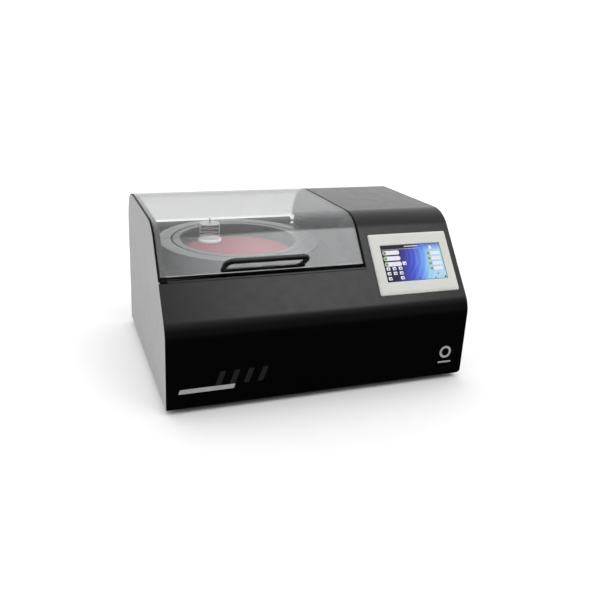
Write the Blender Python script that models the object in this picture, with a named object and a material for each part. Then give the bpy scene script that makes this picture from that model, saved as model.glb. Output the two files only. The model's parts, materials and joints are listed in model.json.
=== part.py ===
"""Bench-top vibratory polishing machine.

A bent-sheet casing with a clear hinged lid holds a cloth-covered bowl on a spring-mounted platform
that an electromagnet shakes. A column on the right carries the touch panel, the power supply and,
at the rear, the mains module and the fan. Metres, +Z up, the front faces -Y, +X is to the right.

Casing coordinates are used throughout: x = 0 in the middle, y = 0 at the front skin, z = 0 at the
bottom edge of the panels. The parent empty moves them so that the origin is under the middle of
the machine, on the surface that it stands on.
"""

import math

import bmesh
import bpy
from mathutils import Matrix, Vector

# Casing
CASE_WIDTH = 0.700
CASE_DEPTH = 0.533
CASE_HEIGHT = 0.360
HALF_WIDTH = CASE_WIDTH / 2
FOOT_HEIGHT = 0.012
REAR_PROUD = 0.006          # the fan guard stands out behind the rear panel
GAP = 0.0003                # clearance between touching pieces
SHEET = 0.002               # black sheet metal
PANEL = 0.003               # side panels
UNDER_SKIN = SHEET + GAP    # where a piece begins that lies under the skin

# Side outline: upright front, slope, flat top, upright rear, with a bend between each two
FRONT_CORNER_Z = 0.171      # the front and slope planes meet here
TOP_CORNER_Y = 0.1485       # the slope and top planes meet here
FRONT_BEND_RADIUS = 0.067
TOP_BEND_RADIUS = 0.080
REAR_BEND_RADIUS = 0.091
SLOPE = math.atan2(CASE_HEIGHT - FRONT_CORNER_Z, TOP_CORNER_Y)

# Places down the slope, measured from the top corner
LID_EDGE = 0.1212
COVER_EDGE = 0.1310
RAIL_END = 0.1207
SEAL_TOP = 0.1222
SEAL_BOTTOM = 0.1256

# Across the machine
COLUMN_X = 0.1145           # left edge of the column
LID_LEFT = -0.3450
LID_RIGHT = 0.1090
CORNER_ROUND = 0.009        # lower right corner of the front cover

# Compartment under the lid
DECK_TOP = 0.245
REAR_LIP_TOP = 0.262
REAR_FLANGE_TOP = 0.2647
BOWL_X = -0.1215
BOWL_Y = 0.2845
RIM_TOP = 0.279
RING_OUTER = 0.192
RING_INNER = 0.1600
DECK_HOLE = 0.186
BOWL_RIM = 0.1560
BOWL_BORE = 0.1390
BOWL_WALL = 0.0037
BOWL_BOTTOM = 0.2268
PLATEN_RADIUS = 0.1375
CLOTH_RADIUS = 0.1365
CLOTH_TOP = 0.2470
CLOTH_THICKNESS = 0.0015

# Sample holder on the cloth
HOLDER_X = -0.1680
HOLDER_Y = 0.3810
HOLDER_RING_RADIUS = 0.0300
HOLDER_RING_HEIGHT = 0.0087
HOLDER_BORE = 0.0060
WEIGHT_RADIUS = 0.0255
WEIGHT_HEIGHT = 0.0380
WEIGHT_DISCS = 4
PIN_RADIUS = 0.0020
PIN_HEIGHT = 0.0124

# Lid
LID_THICKNESS = 0.0035
LID_REAR_Z = 0.2655
SEAL_REAR_Z = 0.2840
HANDLE_X = (LID_LEFT + LID_RIGHT) / 2
HANDLE_DOWN = 0.1070
HANDLE_SPAN = 0.180
HANDLE_HEIGHT = 0.029
HANDLE_RADIUS = 0.006
HANDLE_BEND = 0.016
PIVOT_Y = 0.5255
PIVOT_Z = 0.2545
PIVOT_RADIUS = 0.0030
ARM_THICKNESS = 0.0040

# Touch panel, in the plane of the slope
HMI_X = 0.2338
HMI_DOWN = 0.1287
BEZEL_WIDTH = 0.2004
BEZEL_HEIGHT = 0.1465
BEZEL_PROUD = 0.0065
SCREEN_WIDTH = 0.1540
SCREEN_HEIGHT = 0.0880
HOUSING_WIDTH = 0.188
HOUSING_HEIGHT = 0.134
HOUSING_DEPTH = 0.038

# Vibratory drive
BASE_PLATE = 0.003
DRIVE_BASE_TOP = 0.060
PLATFORM_BOTTOM = 0.2140
SPRING_RADIUS = 0.095
SPRING_COUNT = 3
SPRING_WIDTH = 0.024
SPRING_THICKNESS = 0.002

# Rear equipment
FAN_X = 0.190
FAN_Z = 0.160
FAN_SIZE = 0.060
FAN_DEPTH = 0.025
FAN_BORE = 0.028
BLADES = 7
INLET_X = 0.285
INLET_Z = 0.070
INLET_WIDTH = 0.044
INLET_HEIGHT = 0.056
ROCKER_Z = INLET_Z + 0.0175
DRAWER_Z = INLET_Z + 0.0035
SOCKET_Z = INLET_Z - 0.0145
ROCKER_TILT = 11.0          # degrees that the rocker leans at rest

ROUND_STEPS = 48
SMALL_STEPS = 24

MATERIALS = {
    "panel_grey": ((0.62, 0.63, 0.64), 0.45, 0.0),
    "cover_black": ((0.012, 0.012, 0.012), 0.28, 0.0),
    "deck_black": ((0.02, 0.02, 0.022), 0.35, 0.0),
    "clear_acrylic": ((0.90, 0.92, 0.93), 0.05, 0.0),
    "rubber_black": ((0.02, 0.02, 0.02), 0.75, 0.0),
    "handle_black": ((0.02, 0.02, 0.02), 0.40, 0.0),
    "bowl_grey": ((0.23, 0.24, 0.25), 0.45, 0.0),
    "platen_metal": ((0.55, 0.55, 0.56), 0.35, 1.0),
    "cloth_pink": ((0.62, 0.32, 0.36), 0.95, 0.0),
    "white_plastic": ((0.85, 0.85, 0.84), 0.40, 0.0),
    "bezel_grey": ((0.70, 0.70, 0.67), 0.40, 0.0),
    "screen_glass": ((0.05, 0.12, 0.45), 0.10, 0.0),
    "black_plastic": ((0.03, 0.03, 0.03), 0.50, 0.0),
    "steel": ((0.60, 0.60, 0.60), 0.30, 1.0),
    "spring_steel": ((0.40, 0.41, 0.43), 0.30, 1.0),
    "cast_iron": ((0.14, 0.15, 0.16), 0.60, 0.6),
    "copper_coil": ((0.55, 0.22, 0.10), 0.40, 0.8),
    "board_green": ((0.03, 0.22, 0.08), 0.45, 0.0),
    "zinc_plate": ((0.55, 0.56, 0.57), 0.40, 0.9),
}


# ---------------------------------------------------------------- objects


def clear_scene():
    for item in list(bpy.data.objects):
        bpy.data.objects.remove(item, do_unlink=True)


def make_frame():
    frame = bpy.data.objects.new("machine_frame", None)
    bpy.context.scene.collection.objects.link(frame)
    frame.location = (0.0, -(CASE_DEPTH + REAR_PROUD) / 2, FOOT_HEIGHT)
    return frame


def get_material(name):
    if name in bpy.data.materials:
        return bpy.data.materials[name]
    colour, roughness, metallic = MATERIALS[name]
    material = bpy.data.materials.new(name)
    material.use_nodes = True
    shader = material.node_tree.nodes["Principled BSDF"]
    shader.inputs["Base Color"].default_value = (*colour, 1.0)
    shader.inputs["Roughness"].default_value = roughness
    shader.inputs["Metallic"].default_value = metallic
    return material


def add_object(name, bm, origin=(0.0, 0.0, 0.0), tilt=0.0, turn=0.0):
    """Makes an object from bm, whose points are relative to origin, tilted about X, then turned about Z."""
    bmesh.ops.remove_doubles(bm, verts=bm.verts, dist=1e-7)
    bmesh.ops.recalc_face_normals(bm, faces=bm.faces)
    mesh = bpy.data.meshes.new(name)
    bm.to_mesh(mesh)
    bm.free()
    mesh.shade_smooth()
    mesh.set_sharp_from_angle(angle=math.radians(32))
    obj = bpy.data.objects.new(name, mesh)
    bpy.context.scene.collection.objects.link(obj)
    obj.parent = FRAME
    obj.location = origin
    obj.rotation_euler = (tilt, 0.0, turn)
    return obj


def add_piece(name, material, bm, origin=(0.0, 0.0, 0.0), tilt=0.0, turn=0.0):
    obj = add_object(name, bm, origin, tilt, turn)
    obj.data.materials.append(get_material(material))
    return obj


def combine(obj, bm, operation, origin=(0.0, 0.0, 0.0), tilt=0.0):
    """Cuts bm out of obj, or joins it on, with a hidden operand."""
    operand = add_object(obj.name + "_" + operation.lower(), bm, origin, tilt)
    operand.hide_render = True
    operand.display_type = "WIRE"
    modifier = obj.modifiers.new(operation.title(), "BOOLEAN")
    modifier.operation = operation
    modifier.solver = "EXACT"
    modifier.object = operand


# ---------------------------------------------------------------- solids


def bridge(bm, first, second):
    count = len(first)
    for i in range(count):
        j = (i + 1) % count
        bm.faces.new((first[i], first[j], second[j], second[i]))


def stacked(loops):
    """A solid through closed loops of equal length, capped at both ends."""
    bm = bmesh.new()
    rings = [[bm.verts.new(point) for point in loop] for loop in loops]
    for lower, upper in zip(rings[:-1], rings[1:]):
        bridge(bm, lower, upper)
    bm.faces.new(list(reversed(rings[0])))
    bm.faces.new(rings[-1])
    return bm


def tube_ring(loops):
    """A closed ring solid: the loops follow its cross-section all the way round."""
    bm = bmesh.new()
    rings = [[bm.verts.new(point) for point in loop] for loop in loops]
    for i, ring in enumerate(rings):
        bridge(bm, ring, rings[(i + 1) % len(rings)])
    return bm


def box(low, high):
    (x0, y0, z0), (x1, y1, z1) = low, high
    corners = [(x0, y0), (x1, y0), (x1, y1), (x0, y1)]
    return stacked([[(x, y, z) for x, y in corners] for z in (z0, z1)])


def prism_x(outline, x0, x1):
    """An outline of (y, z) points, extruded from x0 to x1."""
    return stacked([[(x, y, z) for y, z in outline] for x in (x0, x1)])


def prism_y(outline, y0, y1):
    """An outline of (x, z) points, extruded from y0 to y1."""
    return stacked([[(x, y, z) for x, z in outline] for y in (y0, y1)])


def strip(outer, inner, x0, x1):
    """A sheet between two side outlines with the same number of points."""
    loops = [[(x0, *o), (x1, *o), (x1, *i), (x0, *i)] for o, i in zip(outer, inner)]
    return stacked(loops)


def turned(profile, steps=ROUND_STEPS):
    """A solid turned about Z from a closed profile of (radius, z) points."""
    bm = bmesh.new()
    angles = [2 * math.pi * k / steps for k in range(steps)]
    rings = []
    for radius, z in profile:
        if radius == 0.0:
            rings.append([bm.verts.new((0.0, 0.0, z))])
        else:
            rings.append([bm.verts.new((radius * math.cos(a), radius * math.sin(a), z)) for a in angles])
    for i, ring in enumerate(rings):
        other = rings[(i + 1) % len(rings)]
        if len(ring) == 1 and len(other) == 1:
            continue
        for k in range(steps):
            n = (k + 1) % steps
            corners = [ring[k % len(ring)], ring[n % len(ring)], other[n % len(other)], other[k % len(other)]]
            bm.faces.new(list(dict.fromkeys(corners)))
    return bm


def disc(radius, z0, z1, steps=ROUND_STEPS):
    return turned([(0.0, z0), (radius, z0), (radius, z1), (0.0, z1)], steps)


def rod_x(profile, steps=SMALL_STEPS):
    """A turned solid laid along X: the profile's second number is x."""
    bm = turned(profile, steps)
    bmesh.ops.transform(bm, matrix=Matrix.Rotation(math.radians(90), 4, "Y"), verts=bm.verts)
    return bm


def rod_y(profile, steps=SMALL_STEPS):
    """A turned solid laid along Y: the profile's second number is y."""
    bm = turned(profile, steps)
    bmesh.ops.transform(bm, matrix=Matrix.Rotation(math.radians(-90), 4, "X"), verts=bm.verts)
    return bm


def perforated_plate(x_range, z_range, y0, y1, holes):
    """An upright plate with rectangular holes, each (x0, x1, z0, z1)."""
    xs = sorted({*x_range, *(h[0] for h in holes), *(h[1] for h in holes)})
    zs = sorted({*z_range, *(h[2] for h in holes), *(h[3] for h in holes)})

    def is_solid(i, k):
        if not (0 <= i < len(xs) - 1 and 0 <= k < len(zs) - 1):
            return False
        x = (xs[i] + xs[i + 1]) / 2
        z = (zs[k] + zs[k + 1]) / 2
        return not any(h[0] < x < h[1] and h[2] < z < h[3] for h in holes)

    bm = bmesh.new()
    corners = {}

    def corner(i, k, y):
        if (i, k, y) not in corners:
            corners[i, k, y] = bm.verts.new((xs[i], y, zs[k]))
        return corners[i, k, y]

    for i in range(len(xs) - 1):
        for k in range(len(zs) - 1):
            if not is_solid(i, k):
                continue
            cell = [(i, k), (i + 1, k), (i + 1, k + 1), (i, k + 1)]
            bm.faces.new([corner(a, b, y0) for a, b in cell])
            bm.faces.new([corner(a, b, y1) for a, b in reversed(cell)])
            for side, (di, dk) in enumerate(((0, -1), (1, 0), (0, 1), (-1, 0))):
                if not is_solid(i + di, k + dk):
                    (a, b), (c, d) = cell[side], cell[(side + 1) % 4]
                    bm.faces.new((corner(c, d, y0), corner(a, b, y0), corner(a, b, y1), corner(c, d, y1)))
    return bm


def rounded_rectangle(width, height, radius, steps=4, centre=(0.0, 0.0)):
    points = []
    for cx, cy, start in ((1, 1, 0), (-1, 1, 90), (-1, -1, 180), (1, -1, 270)):
        for k in range(steps + 1):
            angle = math.radians(start + 90 * k / steps)
            x = centre[0] + cx * (width / 2 - radius) + radius * math.cos(angle)
            y = centre[1] + cy * (height / 2 - radius) + radius * math.sin(angle)
            points.append((x, y))
    return points


# ---------------------------------------------------------------- side outline


def arc(centre, radius, start, end, steps):
    angles = [math.radians(start + (end - start) * k / steps) for k in range(steps + 1)]
    return [(centre[0] + radius * math.cos(a), centre[1] + radius * math.sin(a)) for a in angles]


def slope_point(down, inset=0.0):
    """A point on the slope, inset below its skin."""
    y = TOP_CORNER_Y - down * math.cos(SLOPE) + inset * math.sin(SLOPE)
    z = CASE_HEIGHT - down * math.sin(SLOPE) - inset * math.cos(SLOPE)
    return y, z


def front_bend(inset):
    tangent = FRONT_BEND_RADIUS * math.tan((math.pi / 2 - SLOPE) / 2)
    centre = (FRONT_BEND_RADIUS, FRONT_CORNER_Z - tangent)
    return arc(centre, FRONT_BEND_RADIUS - inset, 180, 90 + math.degrees(SLOPE), 6)


def top_bend(inset):
    tangent = TOP_BEND_RADIUS * math.tan(SLOPE / 2)
    centre = (TOP_CORNER_Y + tangent, CASE_HEIGHT - TOP_BEND_RADIUS)
    return arc(centre, TOP_BEND_RADIUS - inset, 90 + math.degrees(SLOPE), 90, 9)


def rear_bend(inset):
    centre = (CASE_DEPTH - REAR_BEND_RADIUS, CASE_HEIGHT - REAR_BEND_RADIUS)
    return arc(centre, REAR_BEND_RADIUS - inset, 90, 0, 12)


def casing_outline(inset, front_z=0.0, rear_z=0.0):
    """From the front's lower edge, over the top, to the rear's lower edge."""
    bends = front_bend(inset) + top_bend(inset) + rear_bend(inset)
    return [(inset, front_z)] + bends + [(CASE_DEPTH - inset, rear_z)]


def lid_outline(inset, front_down=LID_EDGE, rear_z=LID_REAR_Z):
    """From a place on the slope, over the top, down to rear_z at the rear."""
    bends = top_bend(inset) + rear_bend(inset)
    return [slope_point(front_down, inset)] + bends + [(CASE_DEPTH - inset, rear_z)]


# ---------------------------------------------------------------- casing


def make_front_cover():
    """Bent sheet: the full width below the lid's edge, and the column all the way over."""
    outer = casing_outline(0.0, 0.0, REAR_LIP_TOP + GAP)
    inner = casing_outline(SHEET, 0.0, REAR_LIP_TOP + GAP)
    cover = add_piece("front_cover", "cover_black", strip(outer, inner, -HALF_WIDTH, HALF_WIDTH))
    reach = 0.03
    lid_opening = [
        slope_point(COVER_EDGE, -reach),
        slope_point(COVER_EDGE, reach),
        (CASE_DEPTH - REAR_BEND_RADIUS, 0.150),
        (CASE_DEPTH + reach, 0.150),
        (CASE_DEPTH + reach, CASE_HEIGHT + reach),
        (0.0, CASE_HEIGHT + reach),
    ]
    combine(cover, prism_x(lid_opening, -HALF_WIDTH - reach, COLUMN_X), "DIFFERENCE")
    stop_notch = [
        slope_point(COVER_EDGE - 0.004, -0.004),
        slope_point(COVER_EDGE + 0.0035, -0.004),
        slope_point(COVER_EDGE + 0.0035, 0.006),
        slope_point(COVER_EDGE - 0.004, 0.006),
    ]
    combine(cover, prism_x(stop_notch, -0.3455, -0.3315), "DIFFERENCE")
    edge_y, edge_z = slope_point(COVER_EDGE)
    ledge = box((-0.3315, edge_y + 0.0006, edge_z - 0.0015), (COLUMN_X, edge_y + 0.0095, edge_z - 0.0003))
    combine(cover, ledge, "UNION")
    panel_hole = box(
        (-HOUSING_WIDTH / 2 - GAP, -HOUSING_HEIGHT / 2 - GAP, -0.01),
        (HOUSING_WIDTH / 2 + GAP, HOUSING_HEIGHT / 2 + GAP, 0.01),
    )
    combine(cover, panel_hole, "DIFFERENCE", (HMI_X, *slope_point(HMI_DOWN)), SLOPE)
    combine(cover, prism_y(corner_waste(), -0.01, 0.02), "DIFFERENCE")


def corner_waste():
    """What is cut away at the front cover's lower right corner, in (x, z)."""
    outside = 0.004
    centre = (HALF_WIDTH - CORNER_ROUND, CORNER_ROUND)
    curve = arc(centre, CORNER_ROUND, -90, 0, 6)
    return curve + [(HALF_WIDTH + outside, CORNER_ROUND), (HALF_WIDTH + outside, -outside),
                    (HALF_WIDTH - CORNER_ROUND, -outside)]


def make_side_panels():
    outline = casing_outline(UNDER_SKIN)
    add_piece("side_panel_left", "panel_grey", prism_x(outline, -HALF_WIDTH, -HALF_WIDTH + PANEL))
    toe = CORNER_ROUND * 1.3
    chamfered = [(UNDER_SKIN + toe, 0.0), (UNDER_SKIN, toe)] + outline[1:]
    add_piece("side_panel_right", "panel_grey", prism_x(chamfered, HALF_WIDTH - PANEL, HALF_WIDTH))


def make_base():
    inside = HALF_WIDTH - PANEL - GAP
    rear = CASE_DEPTH - UNDER_SKIN
    clear = CORNER_ROUND * 1.3
    outline = [(-inside, UNDER_SKIN), (inside - clear, UNDER_SKIN), (inside, UNDER_SKIN + clear),
               (inside, rear), (-inside, rear)]
    plate = stacked([[(x, y, z) for x, y in outline] for z in (0.0, BASE_PLATE)])
    add_piece("base_plate", "zinc_plate", plate)
    profile = [(0.0, -FOOT_HEIGHT), (0.0155, -FOOT_HEIGHT), (0.0165, -0.010), (0.0150, -GAP), (0.0, -GAP)]
    for side, x in (("left", -0.280), ("right", 0.280)):
        for end, y in (("front", 0.065), ("rear", 0.465)):
            add_piece(f"foot_{end}_{side}", "rubber_black", turned(profile, SMALL_STEPS), (x, y, 0.0))


def make_column_wall():
    outline = casing_outline(UNDER_SKIN, BASE_PLATE + GAP, BASE_PLATE + GAP)
    add_piece("column_wall", "deck_black", prism_x(outline, COLUMN_X, COLUMN_X + SHEET))


def make_deck():
    """Bent sheet: a flange behind the front seal, the flat deck with its round hole, and a rear flange."""
    outside = 0.0088
    inside = outside + SHEET
    bottom = DECK_TOP - SHEET
    down_outside = (CASE_HEIGHT - outside * math.cos(SLOPE) - bottom) / math.sin(SLOPE)
    down_inside = (CASE_HEIGHT - inside * math.cos(SLOPE) - DECK_TOP) / math.sin(SLOPE)
    rear_y = CASE_DEPTH - UNDER_SKIN
    outline = [
        slope_point(SEAL_TOP + 0.001, outside),
        slope_point(down_outside, outside),
        (rear_y, bottom),
        (rear_y, REAR_FLANGE_TOP),
        (rear_y - SHEET, REAR_FLANGE_TOP),
        (rear_y - SHEET, DECK_TOP),
        slope_point(down_inside, inside),
        slope_point(SEAL_TOP + 0.001, inside),
    ]
    left = -HALF_WIDTH + PANEL + GAP
    deck = add_piece("deck", "deck_black", prism_x(outline, left, COLUMN_X - GAP))
    combine(deck, disc(DECK_HOLE, bottom - 0.01, DECK_TOP + 0.01), "DIFFERENCE", (BOWL_X, BOWL_Y, 0.0))
    for x0, x1 in ((-0.352, -0.3360), (0.1005, 0.120)):
        arm_notch = box((x0, rear_y - 0.004, DECK_TOP + 0.0005), (x1, rear_y + 0.001, REAR_FLANGE_TOP + 0.001))
        combine(deck, arm_notch, "DIFFERENCE")


def make_rear_panel():
    arm_slots = [(-0.3480, -0.3400, DECK_TOP, REAR_LIP_TOP), (0.1040, 0.1140, DECK_TOP, REAR_LIP_TOP)]
    fan_hole = (FAN_X - 0.025, FAN_X + 0.025, FAN_Z - 0.025, FAN_Z + 0.025)
    half_width = INLET_WIDTH / 2 + GAP
    half_height = INLET_HEIGHT / 2 + GAP
    inlet_hole = (INLET_X - half_width, INLET_X + half_width, INLET_Z - half_height, INLET_Z + half_height)
    vents = []
    for middle in (-0.250, -0.080):
        for row in range(6):
            z = 0.120 + 0.013 * row
            vents.append((middle - 0.050, middle + 0.050, z, z + 0.005))
    holes = arm_slots + [fan_hole, inlet_hole] + vents
    width = (-HALF_WIDTH, HALF_WIDTH)
    plate = perforated_plate(width, (0.0, REAR_LIP_TOP), CASE_DEPTH - SHEET, CASE_DEPTH, holes)
    add_piece("rear_panel", "cover_black", plate)
    for number, (x, z) in enumerate(((-0.335, 0.015), (0.0, 0.015), (0.335, 0.015), (0.335, 0.245)), 1):
        head = rod_y([(0.0, 0.0), (0.0045, 0.0), (0.0038, 0.0022), (0.0, 0.0026)], 16)
        add_piece(f"rear_screw_{number}", "steel", head, (x, CASE_DEPTH + GAP, z))


# ---------------------------------------------------------------- lid seat


def make_lid_seat():
    def rail_outline(inset):
        return [slope_point(RAIL_END, inset)] + top_bend(inset) + [(0.440, CASE_HEIGHT - inset)]

    rail_top = 0.0042
    rail = strip(rail_outline(rail_top), rail_outline(rail_top + 0.0015), -0.3464, -0.3335)
    add_piece("lid_rail_left", "deck_black", rail)
    left_edge = COVER_EDGE - GAP
    left = strip(lid_outline(0.0, left_edge, REAR_LIP_TOP + 0.0005),
                 lid_outline(0.002, left_edge, REAR_LIP_TOP + 0.0005), -HALF_WIDTH, -0.3455)
    add_piece("lid_seal_left", "rubber_black", left)
    right = strip(lid_outline(0.0, SEAL_TOP, SEAL_REAR_Z),
                  lid_outline(0.006, SEAL_TOP, SEAL_REAR_Z), 0.1098, COLUMN_X - GAP)
    add_piece("lid_seal_right", "rubber_black", right)
    front = [slope_point(SEAL_TOP, 0.0025), slope_point(SEAL_BOTTOM, 0.0025),
             slope_point(SEAL_BOTTOM, 0.0060), slope_point(SEAL_TOP, 0.0085)]
    add_piece("lid_seal_front", "rubber_black", prism_x(front, -0.3310, 0.1092))
    stop = [slope_point(LID_EDGE + 0.0006, -0.0012), slope_point(COVER_EDGE + 0.0030, -0.0012),
            slope_point(COVER_EDGE + 0.0030, 0.0038), slope_point(LID_EDGE + 0.0006, 0.0038)]
    add_piece("lid_stop", "rubber_black", prism_x(stop, -0.3450, -0.3320))


# ---------------------------------------------------------------- lid


def make_lid():
    shell = strip(lid_outline(0.0), lid_outline(LID_THICKNESS), LID_LEFT, LID_RIGHT)
    add_piece("lid_shell", "clear_acrylic", shell)
    make_handle()
    arm_places = {"left": LID_LEFT, "right": LID_RIGHT - ARM_THICKNESS}
    for side, x in arm_places.items():
        make_lid_arm(side, x)
    make_pivot_pin("left", -HALF_WIDTH + PANEL + GAP, 1)
    make_pivot_pin("right", COLUMN_X - GAP, -1)


def make_handle():
    """A round bar bridge handle that stands off the slope, with a screw under each foot."""
    half = HANDLE_SPAN / 2
    foot = 0.0004
    bend = HANDLE_HEIGHT - HANDLE_BEND
    path = [(-half, foot)]
    path += arc((-half + HANDLE_BEND, bend), HANDLE_BEND, 180, 90, 6)
    path += arc((half - HANDLE_BEND, bend), HANDLE_BEND, 90, 0, 6)
    path += [(half, foot)]
    loops = []
    for i, (x, z) in enumerate(path):
        before = path[max(i - 1, 0)]
        after = path[min(i + 1, len(path) - 1)]
        along = Vector((after[0] - before[0], 0.0, after[1] - before[1])).normalized()
        if i in (0, len(path) - 1):
            along = Vector((0.0, 0.0, 1.0 if i == 0 else -1.0))
        across = Vector((0.0, 1.0, 0.0))
        outward = along.cross(across)
        ring = []
        for k in range(12):
            angle = 2 * math.pi * k / 12
            offset = across * math.cos(angle) + outward * math.sin(angle)
            ring.append(Vector((x, 0.0, z)) + offset * HANDLE_RADIUS)
        loops.append(ring)
    place = (HANDLE_X, *slope_point(HANDLE_DOWN))
    add_piece("lid_handle", "handle_black", stacked(loops), place, SLOPE)
    under = -LID_THICKNESS - GAP
    head = [(0.0, under - 0.0030), (0.0040, under - 0.0030), (0.0060, under - 0.0015), (0.0060, under),
            (0.0, under)]
    for side, x in (("left", -half), ("right", half)):
        screw_place = (HANDLE_X + x, *slope_point(HANDLE_DOWN))
        add_piece(f"handle_screw_{side}", "steel", turned(head, 16), screw_place, SLOPE)


def make_lid_arm(side, x):
    """Clear plate under the lid's rear bend, down to the pivot. Its origin is on the pivot."""
    boss = 0.0055
    inset = LID_THICKNESS + GAP
    outline = rear_bend(inset)[5:]
    outline.append((CASE_DEPTH - inset, LID_REAR_Z - 0.0010))
    outline += arc((PIVOT_Y, PIVOT_Z), boss, 0, -180, 10)
    outline += [(PIVOT_Y - boss, 0.268), (0.4960, 0.3230)]
    relative = [(y - PIVOT_Y, z - PIVOT_Z) for y, z in outline]
    pivot = (x, PIVOT_Y, PIVOT_Z)
    arm = add_piece(f"lid_arm_{side}", "clear_acrylic", prism_x(relative, 0.0, ARM_THICKNESS), pivot)
    bore = PIVOT_RADIUS + GAP
    hole = rod_x([(0.0, -0.002), (bore, -0.002), (bore, ARM_THICKNESS + 0.002), (0.0, ARM_THICKNESS + 0.002)])
    combine(arm, hole, "DIFFERENCE", pivot)


def make_pivot_pin(side, x, direction):
    """Steel pin that stands on a wall at x and ends in a head past the arm."""
    length = 0.0067 if side == "left" else 0.0100
    head = 0.0022
    profile = [(0.0, 0.0), (PIVOT_RADIUS, 0.0), (PIVOT_RADIUS, length), (0.0050, length),
               (0.0050, length + head), (0.0, length + head)]
    placed = [(r, direction * along) for r, along in profile]
    add_piece(f"pivot_pin_{side}", "steel", rod_x(placed), (x, PIVOT_Y, PIVOT_Z))


# ---------------------------------------------------------------- bowl and sample holder


def make_bowl():
    edge = 0.0025
    ring = [
        (RING_INNER, 0.2560), (RING_INNER, RIM_TOP - 0.0010), (RING_INNER + 0.0010, RIM_TOP),
        (RING_OUTER - 0.0040, RIM_TOP), (RING_OUTER - 0.0012, RIM_TOP - 0.0012),
        (RING_OUTER, RIM_TOP - 0.0040), (RING_OUTER, DECK_TOP + GAP), (RING_OUTER - edge, DECK_TOP + GAP),
        (RING_OUTER - edge, RIM_TOP - edge), (RING_INNER + edge, RIM_TOP - edge), (RING_INNER + edge, 0.2560),
    ]
    place = (BOWL_X, BOWL_Y, 0.0)
    add_piece("splash_ring", "bowl_grey", turned(ring), place)
    outer = BOWL_BORE + BOWL_WALL
    floor = BOWL_BOTTOM + 0.0050
    bowl = [
        (0.0, BOWL_BOTTOM), (outer - 0.006, BOWL_BOTTOM), (outer, BOWL_BOTTOM + 0.006),
        (outer, RIM_TOP - 0.0035), (BOWL_RIM, RIM_TOP - 0.0035), (BOWL_RIM, RIM_TOP - 0.0010),
        (BOWL_RIM - 0.0010, RIM_TOP), (BOWL_BORE + 0.0010, RIM_TOP), (BOWL_BORE, RIM_TOP - 0.0010),
        (BOWL_BORE, floor), (0.0, floor),
    ]
    add_piece("bowl", "bowl_grey", turned(bowl), place)
    cloth_bottom = CLOTH_TOP - CLOTH_THICKNESS
    add_piece("platen", "platen_metal", disc(PLATEN_RADIUS, floor + GAP, cloth_bottom - GAP), place)
    add_piece("polishing_cloth", "cloth_pink", disc(CLOTH_RADIUS, cloth_bottom, CLOTH_TOP), place)


def make_sample_holder():
    place = (HOLDER_X, HOLDER_Y, 0.0)
    low = CLOTH_TOP + GAP
    high = low + HOLDER_RING_HEIGHT
    radius = HOLDER_RING_RADIUS
    ring = [(HOLDER_BORE, low), (radius - 0.001, low), (radius, low + 0.001), (radius, high - 0.0030),
            (radius - 0.0025, high), (HOLDER_BORE, high)]
    add_piece("holder_ring", "white_plastic", turned(ring, 32), place)
    bottom = high + GAP
    disc_height = WEIGHT_HEIGHT / WEIGHT_DISCS
    groove = 0.0010
    weight = [(0.0, bottom)]
    for number in range(WEIGHT_DISCS):
        z = bottom + disc_height * number
        weight += [(WEIGHT_RADIUS - groove, z), (WEIGHT_RADIUS, z + groove),
                   (WEIGHT_RADIUS, z + disc_height - groove), (WEIGHT_RADIUS - groove, z + disc_height)]
    weight = [point for i, point in enumerate(weight) if i == 0 or point != weight[i - 1]]
    weight.append((0.0, bottom + WEIGHT_HEIGHT))
    add_piece("holder_weight", "clear_acrylic", turned(weight, SMALL_STEPS), place)
    pin_bottom = bottom + WEIGHT_HEIGHT + GAP
    add_piece("holder_pin", "steel", disc(PIN_RADIUS, pin_bottom, pin_bottom + PIN_HEIGHT, 12), place)


# ---------------------------------------------------------------- touch panel


def make_touch_panel():
    """Bezel, screen and rear housing, built flat and tilted on to the slope."""
    place = (HMI_X, *slope_point(HMI_DOWN))

    def loop(width, height, radius, z):
        return [(x, y, z) for x, y in rounded_rectangle(width, height, radius)]

    window_width = SCREEN_WIDTH + 2 * GAP
    window_height = SCREEN_HEIGHT + 2 * GAP
    bezel = tube_ring([
        loop(window_width, window_height, 0.0010, GAP),
        loop(BEZEL_WIDTH, BEZEL_HEIGHT, 0.0040, GAP),
        loop(BEZEL_WIDTH, BEZEL_HEIGHT, 0.0040, 0.0030),
        loop(BEZEL_WIDTH - 0.0015, BEZEL_HEIGHT - 0.0015, 0.0035, 0.0050),
        loop(BEZEL_WIDTH - 0.0060, BEZEL_HEIGHT - 0.0060, 0.0025, BEZEL_PROUD),
        loop(window_width + 0.0016, window_height + 0.0016, 0.0018, BEZEL_PROUD),
        loop(window_width, window_height, 0.0010, BEZEL_PROUD - 0.0008),
    ])
    add_piece("panel_bezel", "bezel_grey", bezel, place, SLOPE)
    half_width, half_height = SCREEN_WIDTH / 2, SCREEN_HEIGHT / 2
    screen = box((-half_width, -half_height, 0.0010), (half_width, half_height, 0.0050))
    add_piece("panel_screen", "screen_glass", screen, place, SLOPE)
    half_width, half_height = HOUSING_WIDTH / 2, HOUSING_HEIGHT / 2
    housing = box((-half_width, -half_height, -HOUSING_DEPTH), (half_width, half_height, 0.0))
    add_piece("panel_housing", "black_plastic", housing, place, SLOPE)


# ---------------------------------------------------------------- vibratory drive


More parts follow.
